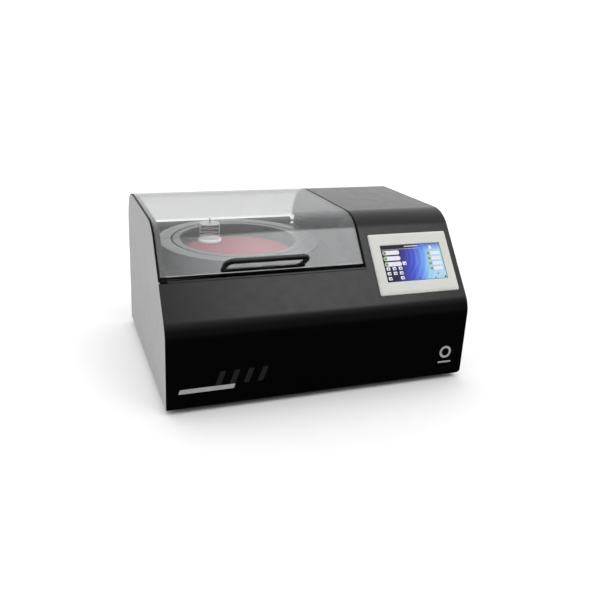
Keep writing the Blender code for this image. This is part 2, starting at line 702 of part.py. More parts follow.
def make_drive():
    place = (BOWL_X, BOWL_Y, 0.0)
    low = BASE_PLATE + GAP
    base = [(0.0, low), (0.135, low), (0.135, 0.026), (0.131, 0.030), (0.118, 0.030),
            (0.118, DRIVE_BASE_TOP), (0.0, DRIVE_BASE_TOP)]
    add_piece("drive_base", "cast_iron", turned(base), place)
    make_magnet(place)
    armature = [(0.0, 0.1530), (0.045, 0.1530), (0.045, 0.1630), (0.020, 0.1680),
                (0.020, PLATFORM_BOTTOM - GAP), (0.0, PLATFORM_BOTTOM - GAP)]
    add_piece("armature", "cast_iron", turned(armature, SMALL_STEPS), place)
    platform = [(0.0, PLATFORM_BOTTOM), (0.125, PLATFORM_BOTTOM), (0.125, BOWL_BOTTOM - 0.0020),
                (0.123, BOWL_BOTTOM - GAP), (0.0, BOWL_BOTTOM - GAP)]
    add_piece("platform", "zinc_plate", turned(platform), place)
    for number in range(SPRING_COUNT):
        make_leaf_spring(number)


def make_magnet(place):
    """An E core that stands on the drive base, with the coil round its middle leg."""
    bottom = DRIVE_BASE_TOP + GAP
    yoke = bottom + 0.016
    top = 0.1510
    inner, window, outer = 0.012, 0.028, 0.040
    core = [(-outer, bottom), (outer, bottom), (outer, top), (window, top), (window, yoke), (inner, yoke),
            (inner, top), (-inner, top), (-inner, yoke), (-window, yoke), (-window, top), (-outer, top)]
    half_depth = 0.020
    add_piece("magnet_core", "cast_iron", prism_y(core, -half_depth, half_depth), place)
    near = inner + GAP
    far = window - GAP
    depth = half_depth + GAP
    thickness = far - near

    def loop(x, y, z):
        return [(px, py, z) for px, py in rounded_rectangle(2 * x, 2 * y, 0.0005, 1)]

    coil = tube_ring([
        loop(near, depth, yoke + 0.001),
        loop(far, depth + thickness, yoke + 0.001),
        loop(far, depth + thickness, top - 0.004),
        loop(near, depth, top - 0.004),
    ])
    add_piece("magnet_coil", "copper_coil", coil, place)


def make_leaf_spring(number):
    """Z-shaped leaf: one foot on the drive base, the other under the platform."""
    low = DRIVE_BASE_TOP + GAP
    high = PLATFORM_BOTTOM - GAP
    t = SPRING_THICKNESS
    foot, lean = 0.040, 0.018
    outline = [(-foot, low), (-lean + t, low), (lean + t, high - t), (foot, high - t), (foot, high),
               (lean, high), (-lean, low + t), (-foot, low + t)]
    leaf = prism_y(outline, -SPRING_WIDTH / 2, SPRING_WIDTH / 2)
    angle = 2 * math.pi * number / SPRING_COUNT + math.pi / 2
    x = BOWL_X + SPRING_RADIUS * math.cos(angle)
    y = BOWL_Y + SPRING_RADIUS * math.sin(angle)
    add_piece(f"leaf_spring_{number + 1}", "spring_steel", leaf, (x, y, 0.0), 0.0, angle - math.pi / 2)


# ---------------------------------------------------------------- column equipment


def make_column_equipment():
    floor = BASE_PLATE + GAP
    outline = rounded_rectangle(0.100, 0.170, 0.002, 1)
    supply = stacked([[(x, y, z) for x, y in outline] for z in (0.0, 0.042)])
    add_piece("power_supply", "zinc_plate", supply, (0.235, 0.330, floor))
    wall = COLUMN_X + SHEET + GAP
    rail_end = wall + 0.018
    for name, z in (("lower", 0.105), ("upper", 0.215)):
        rail = box((wall, 0.230, z), (rail_end, 0.430, z + 0.008))
        add_piece(f"board_rail_{name}", "zinc_plate", rail)
    board = box((rail_end + GAP, 0.225, 0.095), (rail_end + GAP + 0.0016, 0.435, 0.233))
    add_piece("control_board", "board_green", board)


def make_fan():
    half = FAN_SIZE / 2
    rear = CASE_DEPTH - UNDER_SKIN
    place = (FAN_X, rear, FAN_Z)
    shell = prism_y(rounded_rectangle(FAN_SIZE, FAN_SIZE, 0.004, 3), -FAN_DEPTH, 0.0)
    frame = add_piece("fan_frame", "black_plastic", shell, place)
    bore = [(0.0, -FAN_DEPTH - 0.01), (FAN_BORE, -FAN_DEPTH - 0.01), (FAN_BORE, 0.01), (0.0, 0.01)]
    combine(frame, rod_y(bore, 32), "DIFFERENCE", place)
    arm = 0.0030
    reach = half - 0.001
    hub = 0.011
    spider = [(-reach, -arm), (-hub, -arm), (-hub, -hub), (-arm, -hub), (-arm, -reach), (arm, -reach),
              (arm, -hub), (hub, -hub), (hub, -arm), (reach, -arm), (reach, arm), (hub, arm), (hub, hub),
              (arm, hub), (arm, reach), (-arm, reach), (-arm, hub), (-hub, hub), (-hub, arm), (-reach, arm)]
    combine(frame, prism_y(spider, -FAN_DEPTH + 0.0003, -FAN_DEPTH + 0.0035), "UNION", place)
    make_rotor(place)
    slots = []
    for row in range(7):
        z = FAN_Z - 0.0225 + 0.0065 * row
        slots.append((FAN_X - 0.024, FAN_X + 0.024, z, z + 0.004))
    guard = perforated_plate((FAN_X - half, FAN_X + half), (FAN_Z - half, FAN_Z + half),
                             CASE_DEPTH + GAP, CASE_DEPTH + REAR_PROUD, slots)
    add_piece("fan_guard", "black_plastic", guard)


def make_rotor(place):
    """Hub with slanted blades; its origin is on the fan's axis."""
    hub_radius = 0.0115
    hub = rod_y([(0.0, -0.0205), (hub_radius, -0.0205), (hub_radius, -0.0030), (hub_radius - 0.001, -0.0020),
                 (0.0, -0.0020)])
    rotor = add_piece("fan_rotor", "black_plastic", hub, place)
    blades = bmesh.new()
    for number in range(BLADES):
        blade = box((hub_radius - 0.0020, -0.0070, -0.0006), (0.0262, 0.0070, 0.0006))
        slant = Matrix.Rotation(math.radians(38), 4, "X")
        swing = Matrix.Rotation(2 * math.pi * number / BLADES, 4, "Y")
        middle = Matrix.Translation((0.0, -0.0115, 0.0))
        bmesh.ops.transform(blade, matrix=middle @ swing @ slant, verts=blade.verts)
        mesh = bpy.data.meshes.new("blade")
        blade.to_mesh(mesh)
        blade.free()
        blades.from_mesh(mesh)
        bpy.data.meshes.remove(mesh)
    combine(rotor, blades, "UNION", place)


def make_mains_module():
    """Flanged module with an inlet socket, a fuse drawer and a rocker switch, open to the rear."""
    body_rear = CASE_DEPTH + GAP
    flange_rear = body_rear + 0.0025
    levels = [
        (CASE_DEPTH - 0.028, INLET_WIDTH, INLET_HEIGHT),
        (body_rear, INLET_WIDTH, INLET_HEIGHT),
        (body_rear, INLET_WIDTH + 0.006, INLET_HEIGHT + 0.006),
        (flange_rear, INLET_WIDTH + 0.004, INLET_HEIGHT + 0.004),
    ]
    loops = []
    for y, width, height in levels:
        outline = rounded_rectangle(width, height, 0.002, 2, (INLET_X, INLET_Z))
        loops.append([(x, y, z) for x, z in outline])
    module = add_piece("mains_inlet", "black_plastic", stacked(loops))
    past = flange_rear + 0.01
    socket = [(INLET_X - 0.0120, SOCKET_Z - 0.0085), (INLET_X + 0.0120, SOCKET_Z - 0.0085),
              (INLET_X + 0.0120, SOCKET_Z + 0.0035), (INLET_X + 0.0070, SOCKET_Z + 0.0085),
              (INLET_X - 0.0070, SOCKET_Z + 0.0085), (INLET_X - 0.0120, SOCKET_Z + 0.0035)]
    combine(module, prism_y(socket, CASE_DEPTH - 0.017, past), "DIFFERENCE")
    drawer_hole = box((INLET_X - 0.0138, CASE_DEPTH - 0.0180, DRAWER_Z - 0.0048),
                      (INLET_X + 0.0138, past, DRAWER_Z + 0.0048))
    combine(module, drawer_hole, "DIFFERENCE")
    rocker_well = box((INLET_X - 0.0112, CASE_DEPTH - 0.0140, ROCKER_Z - 0.0070),
                      (INLET_X + 0.0112, past, ROCKER_Z + 0.0070))
    combine(module, rocker_well, "DIFFERENCE")
    drawer = box((-0.0134, -0.0150, -0.0044), (0.0134, 0.0036, 0.0044))
    add_piece("fuse_drawer", "black_plastic", drawer, (INLET_X, CASE_DEPTH, DRAWER_Z))
    rocker = [(-0.0075, -0.0040), (-0.0075, 0.0040), (0.0000, 0.0060), (0.0040, 0.0058), (0.0022, 0.0),
              (0.0040, -0.0058), (0.0000, -0.0060)]
    add_piece("rocker_switch", "black_plastic", prism_x(rocker, -0.0108, 0.0108),
              (INLET_X, CASE_DEPTH, ROCKER_Z), math.radians(ROCKER_TILT))


clear_scene()
FRAME = make_frame()
make_front_cover()
make_side_panels()
make_base()
make_column_wall()
make_deck()
make_rear_panel()
make_lid_seat()
make_lid()
make_bowl()
make_sample_holder()
make_touch_panel()
make_drive()
make_column_equipment()
make_fan()
make_mains_module()
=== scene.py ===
import json
import math

import bmesh
import bpy
from mathutils import Matrix, Vector


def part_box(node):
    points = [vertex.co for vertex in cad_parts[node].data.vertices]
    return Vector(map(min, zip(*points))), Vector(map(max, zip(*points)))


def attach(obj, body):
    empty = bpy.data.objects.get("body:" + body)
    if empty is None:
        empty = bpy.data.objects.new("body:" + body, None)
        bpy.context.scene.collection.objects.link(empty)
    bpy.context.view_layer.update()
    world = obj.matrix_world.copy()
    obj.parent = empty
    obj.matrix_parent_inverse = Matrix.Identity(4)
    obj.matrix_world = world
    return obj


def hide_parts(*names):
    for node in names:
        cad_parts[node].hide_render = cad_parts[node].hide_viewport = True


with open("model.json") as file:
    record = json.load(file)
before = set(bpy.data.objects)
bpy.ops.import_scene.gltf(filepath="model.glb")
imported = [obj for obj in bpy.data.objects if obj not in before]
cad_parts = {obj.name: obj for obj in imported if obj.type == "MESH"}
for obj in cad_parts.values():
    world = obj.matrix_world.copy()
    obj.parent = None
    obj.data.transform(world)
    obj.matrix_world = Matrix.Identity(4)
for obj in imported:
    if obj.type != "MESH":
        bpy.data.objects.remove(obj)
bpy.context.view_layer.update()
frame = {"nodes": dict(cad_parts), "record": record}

# ---------------------------------------------------------------- sizes, as in the CAD

# Casing coordinates: x = 0 in the middle, y = 0 at the front skin, z = 0 at the panels' lower edge.
HALF_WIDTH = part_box("front_cover")[1].x
ORIGIN = Vector((0.0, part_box("front_cover")[0].y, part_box("side_panel_left")[0].z))
CASE_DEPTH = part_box("rear_panel")[1].y - ORIGIN.y
CASE_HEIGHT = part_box("front_cover")[1].z - ORIGIN.z
SHEET = 0.002
UNDER_SKIN = 0.0023
PANEL = 0.003
GAP = 0.0003
FRONT_CORNER_Z = 0.171
TOP_CORNER_Y = 0.1485
FRONT_BEND_RADIUS = 0.067
TOP_BEND_RADIUS = 0.080
REAR_BEND_RADIUS = 0.091
SLOPE = math.atan2(CASE_HEIGHT - FRONT_CORNER_Z, TOP_CORNER_Y)
LID_EDGE = 0.1212
COVER_EDGE = 0.1310
RAIL_END = 0.1207
SEAL_TOP = 0.1222
SEAL_BOTTOM = 0.1256
SEAL_REAR_Z = 0.2840
COLUMN_X = 0.1145
LID_LEFT = -0.3450
LID_RIGHT = 0.1090
LID_THICKNESS = 0.0035
LID_REAR_Z = 0.2655
LID_CHAMFER = 0.0008
STOP_LEFT = -0.3450
STOP_RIGHT = -0.3320
NOTCH_LEFT = -0.3455
NOTCH_RIGHT = -0.3315
COVER_ROLL = 0.0045
LEDGE_DEPTH = 0.0095
REAR_LIP_TOP = 0.262
DECK_TOP = 0.245
CORNER_ROUND = 0.009
BEND_STEPS = 28

BOWL_X = (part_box("bowl")[0].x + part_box("bowl")[1].x) / 2
BOWL_Y = (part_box("bowl")[0].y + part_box("bowl")[1].y) / 2 - ORIGIN.y
RIM_TOP = 0.279
RIM_THICKNESS = 0.0035
BOWL_RIM_RADIUS = 0.1560
BOWL_BORE_RADIUS = 0.1390
BOWL_WALL_RADIUS = 0.1427
BOWL_FLOOR = 0.2318
BOWL_UNDERSIDE = 0.2268
COLLAR_INNER_RADIUS = 0.1600
COLLAR_OUTER_RADIUS = 0.1920
COLLAR_FOOT = 0.2560
COLLAR_WALL = 0.0025
CLOTH_TOP = 0.2470
CLOTH_RADIUS = 0.1365
HOLDER_X = (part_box("holder_ring")[0].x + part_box("holder_ring")[1].x) / 2
HOLDER_Y = (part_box("holder_ring")[0].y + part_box("holder_ring")[1].y) / 2 - ORIGIN.y
HOLDER_BORE = 0.0060
HOLDER_RADIUS = 0.0300
HOLDER_HEIGHT = 0.0087
WEIGHT_RADIUS = 0.0255
WEIGHT_HEIGHT = 0.0380
DISC_COUNT = 4
FROSTED_HEIGHT = 0.0045
PIN_RADIUS = 0.0020
PIN_HEIGHT = 0.0124

HANDLE_X = (LID_LEFT + LID_RIGHT) / 2
HANDLE_DOWN = 0.1070
HANDLE_SPAN = 0.180
HANDLE_HEIGHT = 0.029
HANDLE_RADIUS = 0.006
HANDLE_BEND = 0.016

PANEL_X = 0.2338
PANEL_DOWN = 0.1287
BEZEL_WIDTH = 0.2004
BEZEL_HEIGHT = 0.1465
BEZEL_PROUD = 0.0065
SCREEN_WIDTH = 0.1540
SCREEN_HEIGHT = 0.0880
SCREEN_FACE = 0.0050
HOUSING_WIDTH = 0.188
HOUSING_HEIGHT = 0.134


# ---------------------------------------------------------------- materials


def node(tree, kind, **settings):
    made = tree.nodes.new(kind)
    for key, value in settings.items():
        if key in made.inputs:
            made.inputs[key].default_value = value
        else:
            setattr(made, key, value)
    return made


def math_node(tree, operation, first, second):
    made = node(tree, "ShaderNodeMath", operation=operation)
    for socket, value in zip(made.inputs, (first, second)):
        if isinstance(value, (int, float)):
            socket.default_value = value
        else:
            tree.links.new(value, socket)
    return made.outputs["Value"]


def noise(tree, coords, scale, detail=3.0, roughness=0.55, stretch=None):
    if stretch:
        mapping = node(tree, "ShaderNodeMapping")
        mapping.inputs["Scale"].default_value = stretch
        tree.links.new(coords, mapping.inputs["Vector"])
        coords = mapping.outputs["Vector"]
    made = node(tree, "ShaderNodeTexNoise", Scale=scale, Detail=detail, Roughness=roughness)
    tree.links.new(coords, made.inputs["Vector"])
    return made.outputs["Fac"]


def map_range(tree, value, low, high, to_low, to_high):
    made = node(tree, "ShaderNodeMapRange")
    made.inputs["From Min"].default_value = low
    made.inputs["From Max"].default_value = high
    made.inputs["To Min"].default_value = to_low
    made.inputs["To Max"].default_value = to_high
    tree.links.new(value, made.inputs["Value"])
    return made.outputs["Result"]


def mix_colour(tree, factor, first, second):
    made = node(tree, "ShaderNodeMix", data_type="RGBA")
    for socket, value in ((made.inputs[0], factor), (made.inputs[6], first), (made.inputs[7], second)):
        if isinstance(value, bpy.types.NodeSocket):
            tree.links.new(value, socket)
        elif isinstance(value, (int, float)):
            socket.default_value = value
        else:
            socket.default_value = (*value, 1.0)
    return made.outputs[2]


def finish_material(name, colour, roughness, metallic=0.0, spread=0.08, patch=14.0, rough_spread=0.06,
                    bump=0.15, bump_size=0.0004, grain=900.0, stretch=None, wear=None, wear_amount=0.6,
                    **sockets):
    """Principled material with colour patches, uneven roughness, a fine surface and worn edges."""
    material = bpy.data.materials.new(name)
    material.use_nodes = True
    tree = material.node_tree
    shader = tree.nodes["Principled BSDF"]
    coords = node(tree, "ShaderNodeTexCoord").outputs["Object"]
    dark = tuple(c * (1 - spread) for c in colour)
    light = tuple(min(1.0, c * (1 + spread)) for c in colour)
    patches = map_range(tree, noise(tree, coords, patch), 0.3, 0.7, 0.0, 1.0)
    tint = mix_colour(tree, patches, dark, light)
    fine = noise(tree, coords, grain, 2.0, 0.5, stretch)
    smear = noise(tree, coords, patch * 3.1, 4.0, 0.6, stretch)
    uneven = map_range(tree, smear, 0.3, 0.7, roughness - rough_spread, roughness + rough_spread)
    relief = node(tree, "ShaderNodeBump", Strength=bump, Distance=bump_size)
    tree.links.new(fine, relief.inputs["Height"])
    if wear:
        rounded = node(tree, "ShaderNodeBevel", Radius=0.0008)
        rounded.samples = 4
        flat = node(tree, "ShaderNodeNewGeometry")
        turned_by = node(tree, "ShaderNodeVectorMath", operation="DOT_PRODUCT")
        tree.links.new(rounded.outputs["Normal"], turned_by.inputs[0])
        tree.links.new(flat.outputs["Normal"], turned_by.inputs[1])
        edge = map_range(tree, turned_by.outputs["Value"], 0.99, 0.75, 0.0, wear_amount)
        chips = map_range(tree, noise(tree, coords, 160.0), 0.3, 0.6, 0.4, 1.0)
        broken = math_node(tree, "MULTIPLY", edge, chips)
        tint = mix_colour(tree, broken, tint, wear)
        tree.links.new(rounded.outputs["Normal"], relief.inputs["Normal"])
    tree.links.new(tint, shader.inputs["Base Color"])
    tree.links.new(uneven, shader.inputs["Roughness"])
    tree.links.new(relief.outputs["Normal"], shader.inputs["Normal"])
    shader.inputs["Metallic"].default_value = metallic
    for key, value in sockets.items():
        shader.inputs[key.replace("_", " ")].default_value = value
    return material


def clear_material(name, colour, deep, face_alpha, edge_alpha, roughness, metallic=1.0):
    """Clear sheet: faint seen straight on, and more like a grey mirror seen edge on."""
    material = bpy.data.materials.new(name)
    material.use_nodes = True
    tree = material.node_tree
    shader = tree.nodes["Principled BSDF"]
    coords = node(tree, "ShaderNodeTexCoord").outputs["Object"]
    facing = node(tree, "ShaderNodeLayerWeight", Blend=0.5).outputs["Facing"]
    steep = math_node(tree, "POWER", facing, 4.0)
    haze = map_range(tree, noise(tree, coords, 7.0, 4.0), 0.3, 0.7, 0.94, 1.06)
    alpha = math_node(tree, "MULTIPLY", map_range(tree, steep, 0.0, 0.78, face_alpha, edge_alpha), haze)
    tint = mix_colour(tree, map_range(tree, noise(tree, coords, 5.0), 0.3, 0.7, 0.0, 1.0),
                      tuple(c * 0.97 for c in colour), colour)
    tint = mix_colour(tree, map_range(tree, steep, 0.0, 0.25, 0.0, 1.0), tint, deep)
    smear = noise(tree, coords, 30.0, 4.0, 0.6, (1.0, 3.0, 1.0))
    wipe = map_range(tree, smear, 0.3, 0.7, roughness * 0.6, roughness * 1.4)
    relief = node(tree, "ShaderNodeBump", Strength=0.05, Distance=0.0005)
    tree.links.new(noise(tree, coords, 6.0, 1.0), relief.inputs["Height"])
    tree.links.new(tint, shader.inputs["Base Color"])
    tree.links.new(alpha, shader.inputs["Alpha"])
    tree.links.new(wipe, shader.inputs["Roughness"])
    tree.links.new(relief.outputs["Normal"], shader.inputs["Normal"])
    shader.inputs["Metallic"].default_value = metallic
    return material


def cloth_material():
    """Short nap: mottled deep red that looks pink through the lid, with fibres that catch the light."""
    material = bpy.data.materials.new("polishing_nap")
    material.use_nodes = True
    tree = material.node_tree
    shader = tree.nodes["Principled BSDF"]
    coords = node(tree, "ShaderNodeTexCoord").outputs["Object"]
    mottle = map_range(tree, noise(tree, coords, 22.0, 5.0, 0.6), 0.3, 0.7, 0.0, 1.0)
    tint = mix_colour(tree, mottle, (0.205, 0.020, 0.034), (0.260, 0.030, 0.050))
    fibre = noise(tree, coords, 2600.0, 3.0, 0.7)
    tint = mix_colour(tree, map_range(tree, fibre, 0.35, 0.65, 0.0, 0.5), tint, (0.31, 0.045, 0.065))
    weave = node(tree, "ShaderNodeTexVoronoi", Scale=1500.0)
    tree.links.new(coords, weave.inputs["Vector"])
    height = math_node(tree, "ADD", fibre, math_node(tree, "MULTIPLY", weave.outputs["Distance"], 0.6))
    relief = node(tree, "ShaderNodeBump", Strength=0.6, Distance=0.0004)
    tree.links.new(height, relief.inputs["Height"])
    tree.links.new(tint, shader.inputs["Base Color"])
    tree.links.new(map_range(tree, mottle, 0.0, 1.0, 0.85, 1.0), shader.inputs["Roughness"])
    tree.links.new(relief.outputs["Normal"], shader.inputs["Normal"])
    shader.inputs["Specular IOR Level"].default_value = 0.15
    shader.inputs["Sheen Weight"].default_value = 0.02
    shader.inputs["Sheen Roughness"].default_value = 0.5
    return material


def lit_material(name, colour, spread, strength):
    """Lit pixels: the colour shines and varies a little over the surface."""
    material = bpy.data.materials.new(name)
    material.use_nodes = True
    tree = material.node_tree
    shader = tree.nodes["Principled BSDF"]
    coords = node(tree, "ShaderNodeTexCoord").outputs["Object"]
    shade = map_range(tree, noise(tree, coords, 260.0, 2.0), 0.3, 0.7, 0.0, 1.0)
    tint = mix_colour(tree, shade, tuple(c * (1 - spread) for c in colour), colour)
    tree.links.new(tint, shader.inputs["Emission Color"])
    glass = mix_colour(tree, shade, (0.02, 0.02, 0.02), (0.03, 0.03, 0.03))
    tree.links.new(glass, shader.inputs["Base Color"])
    tree.links.new(map_range(tree, shade, 0.0, 1.0, 0.16, 0.24), shader.inputs["Roughness"])
    shader.inputs["Emission Strength"].default_value = strength
    shader.inputs["Specular IOR Level"].default_value = 0.08
    return material


def picture_material():
    """Lit screen: dark on the left, blue in the middle, pale on the lower right, with curved streaks."""
    material = bpy.data.materials.new("screen_picture")
    material.use_nodes = True
    tree = material.node_tree
    shader = tree.nodes["Principled BSDF"]
    coords = node(tree, "ShaderNodeTexCoord").outputs["Object"]
    axes = node(tree, "ShaderNodeSeparateXYZ")
    tree.links.new(coords, axes.inputs["Vector"])
    across = map_range(tree, axes.outputs["X"], -SCREEN_WIDTH / 2, SCREEN_WIDTH / 2, 0.0, 1.0)
    down = map_range(tree, axes.outputs["Y"], SCREEN_HEIGHT / 2, -SCREEN_HEIGHT / 2, 0.0, 1.0)
    tilt = math_node(tree, "MULTIPLY", math_node(tree, "SUBTRACT", down, 0.5), 0.10)
    lean = math_node(tree, "ADD", across, tilt)
    ramp = node(tree, "ShaderNodeValToRGB")
    stops = [(0.0, (0.004, 0.004, 0.012)), (0.22, (0.008, 0.008, 0.06)), (0.34, (0.035, 0.035, 0.30)),
             (0.50, (0.045, 0.085, 0.62)), (0.64, (0.12, 0.28, 0.85)), (0.76, (0.33, 0.62, 0.90)),
             (1.0, (0.42, 0.70, 0.86))]
    while len(ramp.color_ramp.elements) < len(stops):
        ramp.color_ramp.elements.new(0.5)
    for element, (position, colour) in zip(ramp.color_ramp.elements, stops):
        element.position = position
        element.color = (*colour, 1.0)
    tree.links.new(lean, ramp.inputs["Fac"])
    shifted = node(tree, "ShaderNodeMapping")
    shifted.inputs["Location"].default_value = (0.055, -0.020, 0.0)
    tree.links.new(coords, shifted.inputs["Vector"])
    wave = node(tree, "ShaderNodeTexWave", wave_type="RINGS", rings_direction="Z", Scale=26.0,
                Distortion=2.5)
    tree.links.new(shifted.outputs["Vector"], wave.inputs["Vector"])
    bright = math_node(tree, "MULTIPLY", map_range(tree, wave.outputs["Fac"], 0.6, 1.0, 0.0, 0.16),
                       map_range(tree, across, 0.35, 0.75, 0.0, 1.0))
    tint = mix_colour(tree, bright, ramp.outputs["Color"], (0.85, 0.95, 1.0))
    top = math_node(tree, "MULTIPLY", map_range(tree, down, 0.20, 0.02, 0.0, 1.0),
                    map_range(tree, across, 0.55, 0.75, 0.0, 0.85))
    tint = mix_colour(tree, top, tint, (0.06, 0.11, 0.60))
    header = math_node(tree, "MULTIPLY", map_range(tree, down, 0.105, 0.095, 0.0, 1.0),
                       map_range(tree, across, 0.68, 0.50, 0.0, 1.0))
    tint = mix_colour(tree, header, tint, (0.006, 0.005, 0.006))
    tree.links.new(tint, shader.inputs["Emission Color"])
    glass = mix_colour(tree, across, (0.006, 0.006, 0.008), (0.015, 0.015, 0.02))
    smear = map_range(tree, noise(tree, coords, 60.0), 0.3, 0.7, 0.10, 0.18)
    tree.links.new(glass, shader.inputs["Base Color"])
    tree.links.new(smear, shader.inputs["Roughness"])
    shader.inputs["Emission Strength"].default_value = 0.95
    shader.inputs["Specular IOR Level"].default_value = 0.08
    return material


WORN_BLACK = (0.10, 0.10, 0.105)
PAINT_BLACK = finish_material(
    "satin_black_paint", (0.0016, 0.0016, 0.0017), 0.22, spread=0.15, rough_spread=0.035, bump=0.10,
    bump_size=0.0002, grain=700.0, wear=WORN_BLACK, wear_amount=0.35, Specular_IOR_Level=0.29)
DECK_BLACK = finish_material(
    "deck_paint", (0.006, 0.006, 0.0065), 0.36, rough_spread=0.07, bump=0.05, grain=300.0,
    wear=(0.05, 0.05, 0.052), Specular_IOR_Level=0.3)
GREY_PAINT = finish_material(
    "light_grey_paint", (0.545, 0.545, 0.55), 0.42, spread=0.02, bump=0.06, bump_size=0.0003,
    grain=1100.0, wear=(0.68, 0.68, 0.68), wear_amount=0.7)
RUBBER = finish_material(
    "black_rubber", (0.0020, 0.0020, 0.0020), 0.38, spread=0.25, patch=60.0, bump=0.35,
    wear=(0.012, 0.012, 0.012), Specular_IOR_Level=0.06)
HANDLE_BLACK = finish_material(
    "handle_coating", (0.006, 0.006, 0.006), 0.32, spread=0.2, patch=40.0, bump=0.3, grain=1600.0)
RING_GREY = finish_material(
    "ring_plastic", (0.016, 0.0165, 0.017), 0.20, spread=0.06, rough_spread=0.03, bump=0.03,
    grain=260.0, Specular_IOR_Level=0.42)
# Same plastic as the ring, made a little darker and less glossy for the bowl: painted shade over the bowl.
BOWL_GREY = finish_material(
    "bowl_plastic_painted_shade", (0.014, 0.0145, 0.0155), 0.24, spread=0.06, rough_spread=0.04, bump=0.03,
    grain=260.0, Specular_IOR_Level=0.26)
WHITE = finish_material(
    "white_plastic", (0.72, 0.72, 0.71), 0.30, spread=0.03, bump=0.08, wear=(0.95, 0.95, 0.95))
BEZEL_GREY = finish_material(
    "bezel_plastic", (0.72, 0.72, 0.68), 0.45, spread=0.03, bump=0.35, bump_size=0.00025,
    grain=2200.0, wear=(0.62, 0.62, 0.59), wear_amount=0.5, Specular_IOR_Level=0.2)
BLACK_PLASTIC = finish_material(
    "black_plastic", (0.016, 0.016, 0.017), 0.48, spread=0.15, bump=0.4, grain=2400.0,
    wear=(0.07, 0.07, 0.07))
STEEL = finish_material(
    "bright_steel", (0.60, 0.60, 0.60), 0.26, metallic=1.0, grain=500.0, stretch=(1.0, 1.0, 6.0),
    bump=0.1)
SPRING_STEEL = finish_material(
    "spring_steel", (0.30, 0.32, 0.36), 0.30, metallic=1.0, patch=30.0, stretch=(6.0, 6.0, 1.0))
ZINC = finish_material(
    "zinc_plate", (0.52, 0.53, 0.55), 0.38, metallic=1.0, spread=0.15, patch=45.0,
    rough_spread=0.12)
IRON = finish_material(
    "cast_iron_paint", (0.055, 0.058, 0.062), 0.60, spread=0.2, patch=30.0, bump=0.6,
    bump_size=0.0008, grain=350.0, wear=(0.16, 0.16, 0.16))
WALL_GLOSS = finish_material(
    "gloss_wall_paint", (0.010, 0.0105, 0.011), 0.12, rough_spread=0.03, bump=0.04)
COPPER = finish_material(
    "enamelled_copper", (0.52, 0.17, 0.06), 0.32, metallic=0.8, grain=260.0,
    stretch=(0.3, 0.3, 8.0), bump=0.7, bump_size=0.0009)
BOARD = finish_material(
    "circuit_board", (0.010, 0.11, 0.035), 0.36, spread=0.2, patch=90.0, bump=0.3, grain=400.0)
ALUMINIUM = finish_material("turned_aluminium", (0.62, 0.62, 0.63), 0.30, metallic=1.0, grain=420.0)
DARK_GAP = finish_material("dark_gasket", (0.006, 0.006, 0.006), 0.60, spread=0.2, patch=60.0)
PALE_MARK = finish_material("pale_print", (0.40, 0.41, 0.42), 0.45, spread=0.05, bump=0.05)
GREY_MARK = finish_material(
    "grey_print", (0.016, 0.017, 0.018), 0.40, spread=0.08, bump=0.05, Specular_IOR_Level=0.1)
CLEAR = clear_material("clear_acrylic", (0.86, 0.88, 0.89), (0.44, 0.45, 0.45), 0.050, 0.90, 0.05)
# Painted glow: half opaque light grey on the lid's side and rear edge faces, standing in for the light that
# the acrylic edges catch.
PAINTED_EDGE_GLOW = finish_material(
    "acrylic_edge_painted_glow", (0.55, 0.57, 0.58), 0.25, spread=0.1, patch=50.0, Alpha=0.45)
# Painted highlight: near white, almost opaque colour on the lid's front chamfer, standing in for the light
# line along the lid's lower edge.
PAINTED_CHAMFER_HIGHLIGHT = finish_material(
    "acrylic_chamfer_painted_highlight", (0.80, 0.82, 0.83), 0.18, spread=0.08, patch=25.0, Alpha=0.9)
# With no metal here, the light grey that the weight takes on when seen edge on is a painted highlight along
# its silhouette.
CLEAR_WEIGHT = clear_material(
    "clear_weight", (0.24, 0.165, 0.17), (0.70, 0.71, 0.72), 0.17, 0.95, 0.08, 0.0)
# Painted highlight: whitish, part opaque colour on the weight's groove faces, standing in for light caught
# in the grooves.
PAINTED_GROOVE_HIGHLIGHT = finish_material("weight_groove_painted_highlight", (0.85, 0.86, 0.87), 0.22, spread=0.06, Alpha=0.42)
FROST = finish_material("frosted_disc", (0.62, 0.61, 0.61), 0.35, spread=0.05, Alpha=0.62)
PIN_GREY = finish_material(
    "dark_pin", (0.16, 0.165, 0.17), 0.35, metallic=0.3, spread=0.06, patch=60.0)
CLOTH = cloth_material()
PICTURE = picture_material()
LIT_WHITE = lit_material("lit_white", (0.86, 0.84, 0.92), 0.10, 0.95)
LIT_GREEN = lit_material("lit_green", (0.38, 0.55, 0.22), 0.25, 0.85)
LIT_DARK = lit_material("lit_dark_green", (0.03, 0.14, 0.05), 0.35, 0.8)

SLOT_FINISH = {
    "panel_grey": GREY_PAINT, "cover_black": PAINT_BLACK, "deck_black": DECK_BLACK, "clear_acrylic": CLEAR,
    "rubber_black": RUBBER, "handle_black": HANDLE_BLACK, "bowl_grey": RING_GREY, "platen_metal": ALUMINIUM,
    "cloth_pink": CLOTH, "white_plastic": WHITE, "bezel_grey": BEZEL_GREY, "screen": PICTURE,
    "black_plastic": BLACK_PLASTIC, "steel": STEEL, "spring_steel": SPRING_STEEL, "cast_iron": IRON,
    "copper_coil": COPPER, "board_green": BOARD, "zinc_plate": ZINC,
}

NODE_FINISH = {"column_wall": WALL_GLOSS}


# ---------------------------------------------------------------- solids


def bridge(bm, first, second):
    count = len(first)
    for i in range(count):
        j = (i + 1) % count
        bm.faces.new((first[i], first[j], second[j], second[i]))


def stacked(loops):
    bm = bmesh.new()
    rings = [[bm.verts.new(point) for point in loop] for loop in loops]
    for lower, upper in zip(rings[:-1], rings[1:]):
        bridge(bm, lower, upper)
    bm.faces.new(list(reversed(rings[0])))
    bm.faces.new(rings[-1])
    return bm


